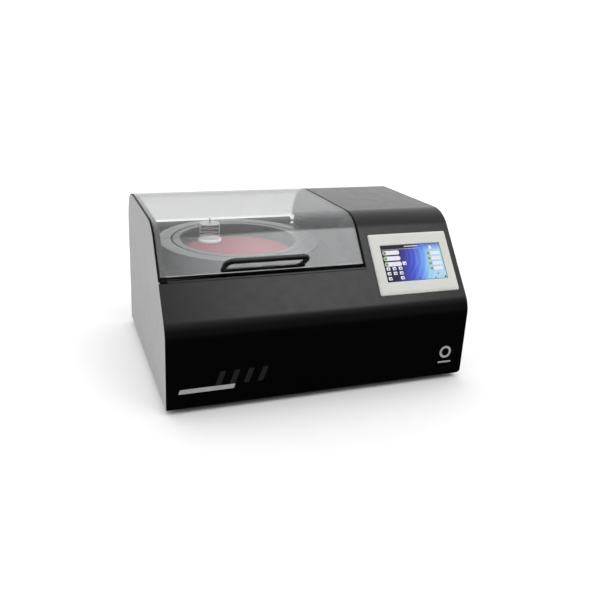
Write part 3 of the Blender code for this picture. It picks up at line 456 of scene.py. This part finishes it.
def tube_ring(loops):
    bm = bmesh.new()
    rings = [[bm.verts.new(point) for point in loop] for loop in loops]
    for i, ring in enumerate(rings):
        bridge(bm, ring, rings[(i + 1) % len(rings)])
    return bm


def box(low, high):
    (x0, y0, z0), (x1, y1, z1) = low, high
    corners = [(x0, y0), (x1, y0), (x1, y1), (x0, y1)]
    return stacked([[(x, y, z) for x, y in corners] for z in (z0, z1)])


def prism_x(outline, x0, x1):
    return stacked([[(x, y, z) for y, z in outline] for x in (x0, x1)])


def prism_y(outline, y0, y1):
    return stacked([[(x, y, z) for x, z in outline] for y in (y0, y1)])


def prism_z(outline, z0, z1):
    return stacked([[(x, y, z) for x, y in outline] for z in (z0, z1)])


def strip(outer, inner, x0, x1):
    return stacked([[(x0, *o), (x1, *o), (x1, *i), (x0, *i)] for o, i in zip(outer, inner)])


def turned(profile, steps=96):
    bm = bmesh.new()
    angles = [2 * math.pi * k / steps for k in range(steps)]
    rings = []
    for radius, z in profile:
        if radius == 0.0:
            rings.append([bm.verts.new((0.0, 0.0, z))])
        else:
            rings.append([bm.verts.new((radius * math.cos(a), radius * math.sin(a), z)) for a in angles])
    for i, ring in enumerate(rings):
        other = rings[(i + 1) % len(rings)]
        if len(ring) == 1 and len(other) == 1:
            continue
        for k in range(steps):
            n = (k + 1) % steps
            corners = [ring[k % len(ring)], ring[n % len(ring)],
                       other[n % len(other)], other[k % len(other)]]
            bm.faces.new(list(dict.fromkeys(corners)))
    return bm


def filleted(points, radius, steps=4, closed=True):
    """The outline with each corner rounded, as far as its edges allow."""
    made = []
    count = len(points)
    for i, point in enumerate(points):
        if not closed and i in (0, count - 1):
            made.append(point)
            continue
        corner = Vector(point)
        before = Vector(points[i - 1]) - corner
        after = Vector(points[(i + 1) % count]) - corner
        reach = min(radius, 0.45 * before.length, 0.45 * after.length)
        start = corner + before.normalized() * reach
        end = corner + after.normalized() * reach
        for k in range(steps + 1):
            t = k / steps
            made.append(tuple(start * (1 - t) ** 2 + corner * 2 * t * (1 - t) + end * t ** 2))
    return made


def turned_smooth(profile, radius, steps=96, fillet_steps=3):
    """A turned solid whose profile starts and ends on the axis."""
    return turned(filleted(profile, radius, fillet_steps, closed=False), steps)


def rounded_rectangle(width, height, radius, steps=8, centre=(0.0, 0.0)):
    points = []
    for cx, cy, start in ((1, 1, 0), (-1, 1, 90), (-1, -1, 180), (1, -1, 270)):
        for k in range(steps + 1):
            angle = math.radians(start + 90 * k / steps)
            x = centre[0] + cx * (width / 2 - radius) + radius * math.cos(angle)
            y = centre[1] + cy * (height / 2 - radius) + radius * math.sin(angle)
            points.append((x, y))
    return points


def joined(parts):
    """One mesh from several."""
    bm = bmesh.new()
    for part in parts:
        mesh = bpy.data.meshes.new("joined")
        part.to_mesh(mesh)
        part.free()
        bm.from_mesh(mesh)
        bpy.data.meshes.remove(mesh)
    return bm


def sweep(path, radius, steps=20):
    """A round bar along a path in the XZ plane, with its ends flat."""
    loops = []
    for i, (x, z) in enumerate(path):
        before = path[max(i - 1, 0)]
        after = path[min(i + 1, len(path) - 1)]
        along = Vector((after[0] - before[0], 0.0, after[1] - before[1])).normalized()
        across = Vector((0.0, 1.0, 0.0))
        outward = along.cross(across)
        ring = []
        for k in range(steps):
            angle = 2 * math.pi * k / steps
            offset = (across * math.cos(angle) + outward * math.sin(angle)) * radius
            ring.append(Vector((x, 0.0, z)) + offset)
        loops.append(ring)
    return stacked(loops)


# ---------------------------------------------------------------- side outline


def arc(centre, radius, start, end, steps=BEND_STEPS):
    angles = [math.radians(start + (end - start) * k / steps) for k in range(steps + 1)]
    return [(centre[0] + radius * math.cos(a), centre[1] + radius * math.sin(a)) for a in angles]


def slope_point(down, inset=0.0):
    y = TOP_CORNER_Y - down * math.cos(SLOPE) + inset * math.sin(SLOPE)
    z = CASE_HEIGHT - down * math.sin(SLOPE) - inset * math.cos(SLOPE)
    return y, z


def front_bend(inset):
    tangent = FRONT_BEND_RADIUS * math.tan((math.pi / 2 - SLOPE) / 2)
    centre = (FRONT_BEND_RADIUS, FRONT_CORNER_Z - tangent)
    return arc(centre, FRONT_BEND_RADIUS - inset, 180, 90 + math.degrees(SLOPE))


def top_bend(inset):
    tangent = TOP_BEND_RADIUS * math.tan(SLOPE / 2)
    centre = (TOP_CORNER_Y + tangent, CASE_HEIGHT - TOP_BEND_RADIUS)
    return arc(centre, TOP_BEND_RADIUS - inset, 90 + math.degrees(SLOPE), 90)


def rear_bend(inset):
    centre = (CASE_DEPTH - REAR_BEND_RADIUS, CASE_HEIGHT - REAR_BEND_RADIUS)
    return arc(centre, REAR_BEND_RADIUS - inset, 90, 0)


def casing_outline(inset, front_z=0.0, rear_z=0.0):
    bends = front_bend(inset) + top_bend(inset) + rear_bend(inset)
    return [(inset, front_z)] + bends + [(CASE_DEPTH - inset, rear_z)]


def lid_outline(inset, front_down=LID_EDGE, rear_z=LID_REAR_Z):
    bends = top_bend(inset) + rear_bend(inset)
    return [slope_point(front_down, inset)] + bends + [(CASE_DEPTH - inset, rear_z)]


def at(x, y, z):
    """The place of a point given in casing coordinates."""
    return Matrix.Translation(ORIGIN + Vector((x, y, z)))


def on_slope(x, down):
    """X across, Y up the slope, Z out of it."""
    return at(x, *slope_point(down)) @ Matrix.Rotation(SLOPE, 4, "X")


# ---------------------------------------------------------------- pieces


def mesh_object(name, bm, place):
    bmesh.ops.remove_doubles(bm, verts=bm.verts, dist=1e-7)
    bmesh.ops.recalc_face_normals(bm, faces=bm.faces)
    mesh = bpy.data.meshes.new(name)
    bm.to_mesh(mesh)
    bm.free()
    obj = bpy.data.objects.new(name, mesh)
    bpy.context.scene.collection.objects.link(obj)
    obj.matrix_world = place
    return obj


def carve(obj, bm, place):
    """Cuts bm out of obj's own mesh."""
    tool = mesh_object("tool", bm, place)
    modifier = obj.modifiers.new("carve", "BOOLEAN")
    modifier.operation = "DIFFERENCE"
    modifier.solver = "EXACT"
    modifier.object = tool
    depsgraph = bpy.context.evaluated_depsgraph_get()
    mesh = bpy.data.meshes.new_from_object(obj.evaluated_get(depsgraph))
    obj.modifiers.clear()
    obj.data = mesh
    bpy.data.objects.remove(tool, do_unlink=True)


def dress(obj, body, finishes, replaced=(), edge=0.0, sharp=32.0):
    """Gives a piece its shading, rounded edges, materials and body."""
    mesh = obj.data
    mesh.materials.clear()
    for finish in finishes:
        mesh.materials.append(finish)
    mesh.shade_smooth()
    mesh.set_sharp_from_angle(angle=math.radians(sharp))
    if edge:
        bevel = obj.modifiers.new("edges", "BEVEL")
        bevel.width = edge
        bevel.segments = 2
        bevel.limit_method = "ANGLE"
        bevel.angle_limit = math.radians(sharp)
        bevel.use_clamp_overlap = True
    weighted = obj.modifiers.new("normals", "WEIGHTED_NORMAL")
    weighted.keep_sharp = True
    weighted.weight = 50
    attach(obj, body)
    if replaced:
        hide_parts(*replaced)
    return obj


def piece(name, bm, place, body, finishes, replaced=(), edge=0.0, sharp=32.0):
    return dress(mesh_object(name, bm, place), body, finishes, replaced, edge, sharp)


def paint_faces(obj, index, test):
    """Gives the faces that pass the test another of the piece's materials."""
    for face in obj.data.polygons:
        if test(face):
            face.material_index = index


def from_axis(face):
    """How far a turned piece's face is from its axis."""
    return math.hypot(face.center.x, face.center.y)


def dress_cad_nodes():
    record = frame["record"]
    slots = {entry["node"]: entry["material_slot"] for entry in record["subparts"]}
    for name, obj in frame["nodes"].items():
        finish = NODE_FINISH.get(name, SLOT_FINISH[slots[name]])
        for material_slot in obj.material_slots:
            material_slot.material = finish


# ---------------------------------------------------------------- casing


def make_casing():
    outer = casing_outline(0.0, 0.0, REAR_LIP_TOP + GAP)
    inner = casing_outline(SHEET, 0.0, REAR_LIP_TOP + GAP)
    cover = mesh_object("bent_cover", strip(outer, inner, -HALF_WIDTH, HALF_WIDTH), at(0, 0, 0))
    reach = 0.03
    lid_opening = [
        slope_point(COVER_EDGE + COVER_ROLL, -reach), slope_point(COVER_EDGE + COVER_ROLL, reach),
        (CASE_DEPTH - REAR_BEND_RADIUS, 0.150), (CASE_DEPTH + reach, 0.150),
        (CASE_DEPTH + reach, CASE_HEIGHT + reach), (0.0, CASE_HEIGHT + reach),
    ]
    carve(cover, prism_x(lid_opening, -HALF_WIDTH - reach, COLUMN_X), at(0, 0, 0))
    notch = [slope_point(COVER_EDGE + d, i) for d, i in
             ((-0.004, -0.004), (0.0035, -0.004), (0.0035, 0.006), (-0.004, 0.006))]
    carve(cover, prism_x(notch, NOTCH_LEFT, NOTCH_RIGHT), at(0, 0, 0))
    hole = box((-HOUSING_WIDTH / 2 - GAP, -HOUSING_HEIGHT / 2 - GAP, -0.01),
               (HOUSING_WIDTH / 2 + GAP, HOUSING_HEIGHT / 2 + GAP, 0.01))
    carve(cover, hole, on_slope(PANEL_X, PANEL_DOWN))
    curve = arc((HALF_WIDTH - CORNER_ROUND, CORNER_ROUND), CORNER_ROUND, -90, 0, 12)
    waste = curve + [(HALF_WIDTH + 0.004, CORNER_ROUND), (HALF_WIDTH + 0.004, -0.004),
                     (HALF_WIDTH - CORNER_ROUND, -0.004)]
    carve(cover, prism_y(waste, -0.01, 0.02), at(0, 0, 0))
    dress(cover, "casing", [PAINT_BLACK], ["front_cover"], edge=0.0006)
    edge_y, edge_z = slope_point(COVER_EDGE)
    ledge = [(edge_y, edge_z), (edge_y + LEDGE_DEPTH, edge_z), (edge_y + LEDGE_DEPTH, edge_z - 0.0012),
             slope_point(COVER_EDGE + COVER_ROLL, SHEET), slope_point(COVER_EDGE + COVER_ROLL)]
    piece("cover_ledge", prism_x(ledge, NOTCH_RIGHT, COLUMN_X), at(0, 0, 0), "casing",
          [PAINT_BLACK], edge=0.0008)
    outline = casing_outline(UNDER_SKIN)
    piece("left_side", prism_x(outline, -HALF_WIDTH, -HALF_WIDTH + PANEL), at(0, 0, 0), "casing",
          [GREY_PAINT], ["side_panel_left"], edge=0.0006)
    toe = CORNER_ROUND * 1.3
    chamfered = [(UNDER_SKIN + toe, 0.0), (UNDER_SKIN, toe)] + outline[1:]
    piece("right_side", prism_x(chamfered, HALF_WIDTH - PANEL, HALF_WIDTH), at(0, 0, 0), "casing",
          [GREY_PAINT], ["side_panel_right"], edge=0.0006)


def make_marks():
    """Plain printed marks on the lower front, with no lettering."""
    stripes = []
    for number in range(4):
        x = -0.248 + 0.031 * number
        outline = filleted([(x, 0.044), (x + 0.012, 0.044), (x + 0.024, 0.076), (x + 0.012, 0.076)], 0.002)
        stripes.append(prism_y(outline, -0.00012, 0.0001))
    piece("print_grey", joined(stripes), at(0, 0, 0), "casing", [GREY_MARK])
    bar = filleted([(-0.325, 0.034), (-0.207, 0.034), (-0.2035, 0.044), (-0.3215, 0.044)], 0.0015)
    piece("print_pale", prism_y(bar, -0.00020, 0.0001), at(0, 0, 0), "casing", [PALE_MARK])
    middle = (0.303, 0.058)
    outer = rounded_rectangle(0.030, 0.030, 0.0148, 16, middle)
    inner = rounded_rectangle(0.019, 0.019, 0.0093, 16, middle)
    ring = tube_ring([[(x, y, z) for x, z in loop] for loop, y in
                      ((inner, 0.0001), (outer, 0.0001), (outer, -0.00015), (inner, -0.00015))])
    line = prism_y(rounded_rectangle(0.034, 0.0040, 0.0012, 4, (0.303, 0.033)), -0.00015, 0.0001)
    piece("print_ring", joined([ring, line]), at(0, 0, 0), "casing", [PALE_MARK])


# ---------------------------------------------------------------- lid


def make_lid():
    chamfer_end = LID_EDGE - LID_CHAMFER
    outer = [slope_point(LID_EDGE, LID_CHAMFER), slope_point(chamfer_end)] + lid_outline(0.0)[1:]
    inner = [slope_point(LID_EDGE, LID_THICKNESS), slope_point(chamfer_end, LID_THICKNESS)]
    inner += lid_outline(LID_THICKNESS)[1:]
    shell = mesh_object("clear_lid", strip(outer, inner, LID_LEFT, LID_RIGHT), at(0, 0, 0))
    dress(shell, "lid", [CLEAR, PAINTED_EDGE_GLOW, PAINTED_CHAMFER_HIGHLIGHT], ["lid_shell"], edge=0.0003)
    middle = (LID_LEFT + LID_RIGHT) / 2

    def is_edge(face):
        on_side = abs(abs(face.center.x - middle) - (LID_RIGHT - LID_LEFT) / 2) < 1e-4
        at_rear = face.center.z < LID_REAR_Z + 1e-4
        return on_side or at_rear

    def is_chamfer(face):
        at_front = face.center.y < 0.1 and face.center.z < slope_point(chamfer_end)[1]
        return at_front and face.normal.z < 0.2

    # The side and rear edge faces get the painted glow.
    paint_faces(shell, 1, is_edge)
    # The front chamfer faces get the painted highlight line.
    paint_faces(shell, 2, is_chamfer)
    half = HANDLE_SPAN / 2
    bend = HANDLE_HEIGHT - HANDLE_BEND
    path = [(-half, 0.0004), (-half, 0.0010)]
    path += arc((-half + HANDLE_BEND, bend), HANDLE_BEND, 180, 90, 14)
    path += arc((half - HANDLE_BEND, bend), HANDLE_BEND, 90, 0, 14)
    path += [(half, 0.0010), (half, 0.0004)]
    piece("bar_handle", sweep(path, HANDLE_RADIUS, 28), on_slope(HANDLE_X, HANDLE_DOWN), "lid",
          [HANDLE_BLACK], ["lid_handle"], edge=0.0003)
    for side, x in (("left", -half), ("right", half)):
        place = on_slope(HANDLE_X + x, HANDLE_DOWN) @ Matrix.Translation((0, 0, -LID_THICKNESS - GAP))
        make_screw("handle_bolt_" + side, place @ Matrix.Rotation(math.pi, 4, "X"), "lid", 0.0060, 0.0030,
                   "handle_screw_" + side)


def make_screw(name, place, body, radius, height, replaced):
    """Pan head with a hexagonal socket, standing on its place along Z."""
    profile = [(0.0, 0.0), (radius, 0.0), (radius, height * 0.55), (radius * 0.72, height), (0.0, height)]
    head = mesh_object(name, turned_smooth(profile, 0.0008, 40), place)
    socket = turned([(0.0, height * 0.35), (radius * 0.45, height * 0.35), (radius * 0.45, height + 0.001),
                     (0.0, height + 0.001)], 6)
    carve(head, socket, place)
    dress(head, body, [STEEL], [replaced])


def make_seals():
    left_edge = COVER_EDGE - GAP
    left = strip(lid_outline(0.0, left_edge, REAR_LIP_TOP + 0.0005),
                 lid_outline(0.002, left_edge, REAR_LIP_TOP + 0.0005), -HALF_WIDTH, NOTCH_LEFT)
    piece("seal_left", left, at(0, 0, 0), "casing", [RUBBER], ["lid_seal_left"],
          edge=0.0005)
    right = strip(lid_outline(0.0, SEAL_TOP, SEAL_REAR_Z),
                  lid_outline(0.006, SEAL_TOP, SEAL_REAR_Z), 0.1098, COLUMN_X - GAP)
    piece("seal_right", right, at(0, 0, 0), "casing", [RUBBER], ["lid_seal_right"],
          edge=0.0008)
    front = filleted([slope_point(SEAL_TOP, 0.0025), slope_point(SEAL_BOTTOM, 0.0025),
                      slope_point(SEAL_BOTTOM, 0.0060), slope_point(SEAL_TOP, 0.0085)], 0.0012)
    piece("seal_front", prism_x(front, -0.3310, 0.1092), at(0, 0, 0), "casing", [RUBBER],
          ["lid_seal_front"])
    stop_top = LID_EDGE + 0.0006
    stop_bottom = COVER_EDGE + 0.0030
    stop = filleted([slope_point(stop_top, -0.0012), slope_point(stop_bottom, -0.0012),
                     slope_point(stop_bottom, 0.0038), slope_point(stop_top, 0.0038)], 0.0012)
    piece("stop_block", prism_x(stop, STOP_LEFT, STOP_RIGHT), at(0, 0, 0), "casing",
          [RUBBER], ["lid_stop"], edge=0.0004)

    def rail_outline(inset):
        return [slope_point(RAIL_END, inset)] + top_bend(inset) + [(0.440, CASE_HEIGHT - inset)]

    piece("rail_left", strip(rail_outline(0.0042), rail_outline(0.0057), -0.3464, -0.3335), at(0, 0, 0),
          "casing", [DECK_BLACK], ["lid_rail_left"], edge=0.0004)


# ---------------------------------------------------------------- bowl and sample holder


def make_bowl():
    place = at(BOWL_X, BOWL_Y, 0.0)
    inner, outer = COLLAR_INNER_RADIUS, COLLAR_OUTER_RADIUS
    foot = DECK_TOP + GAP
    ceiling = RIM_TOP - COLLAR_WALL
    ring = [(inner, COLLAR_FOOT), (inner, RIM_TOP), (outer, RIM_TOP), (outer, foot),
            (outer - COLLAR_WALL, foot), (outer - COLLAR_WALL, ceiling),
            (inner + COLLAR_WALL, ceiling), (inner + COLLAR_WALL, COLLAR_FOOT)]
    collar = piece("outer_ring", turned(filleted(ring, 0.0022, 5), 160), place, "casing",
                   [RING_GREY, DECK_BLACK], ["splash_ring"])
    paint_faces(collar, 1, lambda face: from_axis(face) > outer - 0.0006)
    under_rim = RIM_TOP - RIM_THICKNESS
    bowl = [(0.0, BOWL_UNDERSIDE), (BOWL_WALL_RADIUS, BOWL_UNDERSIDE), (BOWL_WALL_RADIUS, under_rim),
            (BOWL_RIM_RADIUS, under_rim), (BOWL_RIM_RADIUS, RIM_TOP), (BOWL_BORE_RADIUS, RIM_TOP),
            (BOWL_BORE_RADIUS, BOWL_FLOOR), (0.0, BOWL_FLOOR)]
    piece("vibrating_bowl", turned_smooth(bowl, 0.0012, 160, 4), place, "bowl", [BOWL_GREY],
          ["bowl"])
    make_cloth(place)


def make_cloth(place):
    """Thin round cloth that lies on the platen, with a rolled edge and a slightly uneven nap."""
    bm = bmesh.new()
    levels = [0.0] + [CLOTH_RADIUS * k / 16 for k in range(1, 16)]
    levels += [CLOTH_RADIUS - 0.0012, CLOTH_RADIUS - 0.0003]
    steps = 144
    rings = []
    for radius in levels:
        count = 1 if radius == 0.0 else steps
        ring = []
        for k in range(count):
            angle = 2 * math.pi * k / steps
            x, y = radius * math.cos(angle), radius * math.sin(angle)
            swell = 0.00006 * math.sin(41 * x) * math.cos(53 * y)
            z = CLOTH_TOP - 0.00012 + swell
            if radius > CLOTH_RADIUS - 0.0005:
                z -= 0.0006
            ring.append(bm.verts.new((x, y, z)))
        rings.append(ring)
    for ring, other in zip(rings[:-1], rings[1:]):
        for k in range(steps):
            n = (k + 1) % steps
            corners = [ring[k % len(ring)], ring[n % len(ring)], other[n], other[k]]
            bm.faces.new(list(dict.fromkeys(corners)))
    cloth = mesh_object("nap_cloth", bm, place)
    solid = cloth.modifiers.new("thickness", "SOLIDIFY")
    solid.thickness = 0.0007
    solid.offset = -1.0
    dress(cloth, "bowl", [CLOTH], ["polishing_cloth"])


def make_holder():
    place = at(HOLDER_X, HOLDER_Y, 0.0)
    low = CLOTH_TOP + GAP
    high = low + HOLDER_HEIGHT
    ring = [(HOLDER_BORE, low), (HOLDER_RADIUS, low), (HOLDER_RADIUS, low + 0.0050),
            (WEIGHT_RADIUS + 0.0006, high), (HOLDER_BORE, high)]
    piece("holder_base", turned(filleted(ring, 0.0022, 6), 96), place, "holder", [WHITE],
          ["holder_ring"])
    bottom = high + GAP
    top = bottom + WEIGHT_HEIGHT
    height = WEIGHT_HEIGHT / DISC_COUNT
    groove = 0.0010
    profile = [(0.0, bottom)]
    for number in range(DISC_COUNT):
        z = bottom + height * number
        profile += [(WEIGHT_RADIUS - groove, z), (WEIGHT_RADIUS, z + groove),
                    (WEIGHT_RADIUS, z + FROSTED_HEIGHT), (WEIGHT_RADIUS, z + height - groove),
                    (WEIGHT_RADIUS - groove, z + height)]
    profile = [point for i, point in enumerate(profile) if i == 0 or point != profile[i - 1]]
    profile.append((0.0, top))
    weight = mesh_object("clear_discs", turned(filleted(profile, 0.0003, 2, closed=False), 80), place)
    dress(weight, "weight", [CLEAR_WEIGHT, PAINTED_GROOVE_HIGHLIGHT, FROST], ["holder_weight"])

    def is_side(face):
        return from_axis(face) > WEIGHT_RADIUS - 0.0030

    def is_groove(face):
        phase = ((face.center.z - bottom) / height) % 1.0
        return is_side(face) and (phase < 0.07 or phase > 0.93)

    def is_frosted(face):
        return is_side(face) and face.center.z < bottom + FROSTED_HEIGHT

    # The groove faces get the painted highlight lines.
    paint_faces(weight, 1, is_groove)
    paint_faces(weight, 2, is_frosted)
    foot = top + GAP
    pin = [(0.0, foot), (PIN_RADIUS, foot), (PIN_RADIUS, foot + PIN_HEIGHT), (0.0, foot + PIN_HEIGHT)]
    piece("lift_pin", turned_smooth(pin, 0.0005, 32), place, "weight", [PIN_GREY], ["holder_pin"])


# ---------------------------------------------------------------- touch panel


def make_touch_panel():
    place = on_slope(PANEL_X, PANEL_DOWN)

    def loop(width, height, radius, z):
        return [(x, y, z) for x, y in rounded_rectangle(width, height, radius)]

    width, height = BEZEL_WIDTH, BEZEL_HEIGHT
    window_width, window_height = SCREEN_WIDTH + 0.0006, SCREEN_HEIGHT + 0.0006
    bezel = tube_ring([
        loop(window_width, window_height, 0.0010, GAP),
        loop(width, height, 0.0040, GAP),
        loop(width, height, 0.0040, 0.0026),
        loop(width - 0.0004, height - 0.0004, 0.0039, 0.0032),
        loop(width - 0.0012, height - 0.0012, 0.0036, 0.0040),
        loop(width - 0.0100, height - 0.0100, 0.0026, 0.0062),
        loop(width - 0.0116, height - 0.0116, 0.0022, BEZEL_PROUD),
        loop(window_width + 0.0030, window_height + 0.0030, 0.0022, BEZEL_PROUD),
        loop(window_width + 0.0016, window_height + 0.0016, 0.0016, 0.0062),
        loop(window_width, window_height, 0.0010, 0.0054),
    ])
    piece("bezel", bezel, place, "casing", [BEZEL_GREY], ["panel_bezel"], sharp=20.0)
    pane = prism_z(rounded_rectangle(SCREEN_WIDTH, SCREEN_HEIGHT, 0.0008, 4), 0.0010, SCREEN_FACE)
    piece("screen_pane", pane, place, "casing", [PICTURE], ["panel_screen"], edge=0.0002)
    outer = (SCREEN_WIDTH + 0.0004, SCREEN_HEIGHT + 0.0004)
    inner = (SCREEN_WIDTH - 0.0016, SCREEN_HEIGHT - 0.0016)
    gasket_top = SCREEN_FACE + 0.00025
    gasket = tube_ring([loop(*inner, 0.0006, SCREEN_FACE), loop(*outer, 0.0008, SCREEN_FACE),
                        loop(*outer, 0.0008, gasket_top), loop(*inner, 0.0006, gasket_top)])
    piece("screen_gasket", gasket, place, "casing", [DARK_GAP])
    make_screen_picture(place)


def tile(u, v, width, height, radius, lift=0.00014):
    """A flat shape on the screen. u and v place its middle, as shares from the left and the top."""
    centre = ((u - 0.5) * SCREEN_WIDTH, (0.5 - v) * SCREEN_HEIGHT)
    outline = rounded_rectangle(width * SCREEN_WIDTH, height * SCREEN_HEIGHT, radius, 5, centre)
    return prism_z(outline, SCREEN_FACE - 0.0001, SCREEN_FACE + lift)


def wedge(u, v, size, lift=0.00014):
    """A small upward triangle on the screen."""
    x, y = (u - 0.5) * SCREEN_WIDTH, (0.5 - v) * SCREEN_HEIGHT
    return prism_z([(x - size, y - size * 0.7), (x + size, y - size * 0.7), (x, y + size * 0.8)],
                   SCREEN_FACE - 0.0001, SCREEN_FACE + lift)


def make_screen_picture(place):
    """Plain buttons and symbols, with no lettering."""
    white = []
    green = []
    dark = []
    for number in range(3):
        v = 0.205 + 0.157 * number
        white.append(tile(0.155, v, 0.275, 0.118, 0.0045))
        green.append(tile(0.048, v, 0.056, 0.096, 0.0040, 0.00022))
        dark.append(tile(0.050, v, 0.022, 0.036, 0.0012, 0.00030))
    white.append(tile(0.340, 0.515, 0.062, 0.095, 0.0012))
    dark.append(tile(0.352, 0.530, 0.022, 0.034, 0.0008, 0.00024))
    for row, v in enumerate((0.640, 0.770, 0.905)):
        for column, u in enumerate((0.055, 0.155, 0.255)):
            if row == 2 and column == 1:
                continue
            white.append(tile(u, v, 0.058, 0.085, 0.0010))
            dark.append(tile(u + 0.004, v + 0.006, 0.024, 0.034, 0.0007, 0.00024))
    for number in range(4):
        v = 0.280 + 0.142 * number
        white.append(tile(0.885, v, 0.165, 0.098, 0.0030))
        green.append(tile(0.775, v, 0.058, 0.085, 0.0030, 0.00022))
        dark.append(wedge(0.775, v, 0.0020, 0.00030))
    white.append(tile(0.830, 0.135, 0.045, 0.060, 0.0010))
    white.append(wedge(0.830, 0.090, 0.0042))
    white.append(tile(0.510, 0.052, 0.230, 0.022, 0.0008))
    white.append(tile(0.320, 0.116, 0.620, 0.006, 0.0002))
    for u, v, size in ((0.860, 0.850, 0.0022), (0.970, 0.945, 0.0038), (0.545, 0.945, 0.0030),
                       (0.800, 0.965, 0.0022)):
        dark.append(wedge(u, v, size))
    for name, shapes, finish in (("screen_white", white, LIT_WHITE), ("screen_green", green, LIT_GREEN),
                                 ("screen_dark", dark, LIT_DARK)):
        piece(name, joined(shapes), place, "casing", [finish])


# ---------------------------------------------------------------- rear


def make_rear_details():
    box_low, box_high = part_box("mains_inlet")
    x = (box_low.x + box_high.x) / 2
    rear_y = box_high.y
    socket_z = (box_low.z + box_high.z) / 2 - 0.0145
    pins = []
    for dx, dz in ((-0.0070, -0.0020), (0.0070, -0.0020), (0.0, 0.0020)):
        outline = rounded_rectangle(0.0020, 0.0040, 0.0007, 3, (x + dx, socket_z + dz))
        pins.append(prism_y(outline, rear_y - 0.0195, rear_y - 0.0045))
    piece("inlet_pins", joined(pins), Matrix.Identity(4), "casing", [STEEL], edge=0.0003)
    for number in range(1, 5):
        low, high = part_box(f"rear_screw_{number}")
        place = Matrix.Translation(((low.x + high.x) / 2, low.y, (low.z + high.z) / 2))
        make_screw(f"rear_bolt_{number}", place @ Matrix.Rotation(-math.pi / 2, 4, "X"), "casing", 0.0045,
                   0.0026, f"rear_screw_{number}")


# ---------------------------------------------------------------- studio


def make_studio():
    bm = bmesh.new()
    reach = 60.0
    corners = ((-reach, -reach), (reach, -reach), (reach, reach), (-reach, reach))
    bm.faces.new([bm.verts.new((x, y, 0.0)) for x, y in corners])
    floor = mesh_object("floor", bm, Matrix.Identity(4))
    paint = finish_material("pale_floor", (0.985, 0.985, 0.985), 0.9, spread=0.005, bump=0.02,
                            Specular_IOR_Level=0.1)
    floor.data.materials.append(paint)
    floor.visible_glossy = False
    make_world()


def make_world():
    """White studio with a plain backdrop. It is dim in front near the floor, and a wide soft box
    hangs high on the right."""
    world = bpy.data.worlds.new("studio")
    bpy.context.scene.world = world
    world.use_nodes = True
    tree = world.node_tree
    axes = node(tree, "ShaderNodeSeparateXYZ")
    direction = node(tree, "ShaderNodeTexCoord").outputs["Generated"]
    tree.links.new(direction, axes.inputs["Vector"])
    height = axes.outputs["Z"]
    dome = map_range(tree, height, 0.25, 1.0, 1.0, 1.35)
    front = map_range(tree, axes.outputs["Y"], 0.15, -0.55, 0.0, 1.0)
    low = map_range(tree, height, 1.0, 0.30, 0.0, 0.84)
    shade = math_node(tree, "SUBTRACT", 1.0, math_node(tree, "MULTIPLY", front, low))
    level = math_node(tree, "MULTIPLY", dome, shade)
    toward = node(tree, "ShaderNodeVectorMath", operation="DOT_PRODUCT")
    azimuth, elevation = math.radians(38), math.radians(51)
    toward.inputs[1].default_value = (math.sin(azimuth) * math.cos(elevation),
                                      -math.cos(azimuth) * math.cos(elevation), math.sin(elevation))
    tree.links.new(direction, toward.inputs[0])
    spot = node(tree, "ShaderNodeMapRange", interpolation_type="SMOOTHSTEP")
    for key, value in (("From Min", math.cos(math.radians(15.5))), ("From Max", math.cos(math.radians(2))),
                       ("To Min", 0.0), ("To Max", 2.9)):
        spot.inputs[key].default_value = value
    tree.links.new(toward.outputs["Value"], spot.inputs["Value"])
    level = math_node(tree, "ADD", level, spot.outputs["Result"])
    level = math_node(tree, "MULTIPLY", level, map_range(tree, height, -0.12, -0.04, 0.04, 1.0))
    exposure = 1.06
    strength = math_node(tree, "MULTIPLY", level, exposure)
    tree.links.new(strength, tree.nodes["Background"].inputs["Strength"])
    backdrop = node(tree, "ShaderNodeBackground", Strength=exposure)
    backdrop.inputs["Color"].default_value = (1.0, 1.0, 1.0, 1.0)
    seen = node(tree, "ShaderNodeMixShader")
    tree.links.new(node(tree, "ShaderNodeLightPath").outputs["Is Camera Ray"], seen.inputs["Fac"])
    tree.links.new(tree.nodes["Background"].outputs["Background"], seen.inputs[1])
    tree.links.new(backdrop.outputs["Background"], seen.inputs[2])
    tree.links.new(seen.outputs["Shader"], tree.nodes["World Output"].inputs["Surface"])
    tree.nodes["Background"].inputs["Color"].default_value = (1.0, 1.0, 1.0, 1.0)


def make_camera():
    yaw, pitch, roll = 0.3405, 0.3278, 0.0382
    forward = Vector((math.sin(yaw) * math.cos(pitch), math.cos(yaw) * math.cos(pitch), -math.sin(pitch)))
    level = Vector((math.cos(yaw), -math.sin(yaw), 0.0))
    upright = level.cross(forward)
    right = level * math.cos(roll) + upright * math.sin(roll)
    up = upright * math.cos(roll) - level * math.sin(roll)
    data = bpy.data.cameras.new("camera")
    data.sensor_width = 36.0
    data.lens = 39.90
    data.shift_x = 0.0433
    data.shift_y = -0.0337
    camera = bpy.data.objects.new("camera", data)
    bpy.context.scene.collection.objects.link(camera)
    stand = Matrix((right, up, -forward)).transposed().to_4x4()
    stand.translation = (-0.5525, -1.4711, 0.7134)
    camera.matrix_world = stand
    bpy.context.scene.camera = camera
    bpy.context.scene.view_settings.view_transform = "Standard"


make_camera()
make_studio()
dress_cad_nodes()
make_casing()
make_marks()
make_lid()
make_seals()
make_bowl()
make_holder()
make_touch_panel()
make_rear_details()
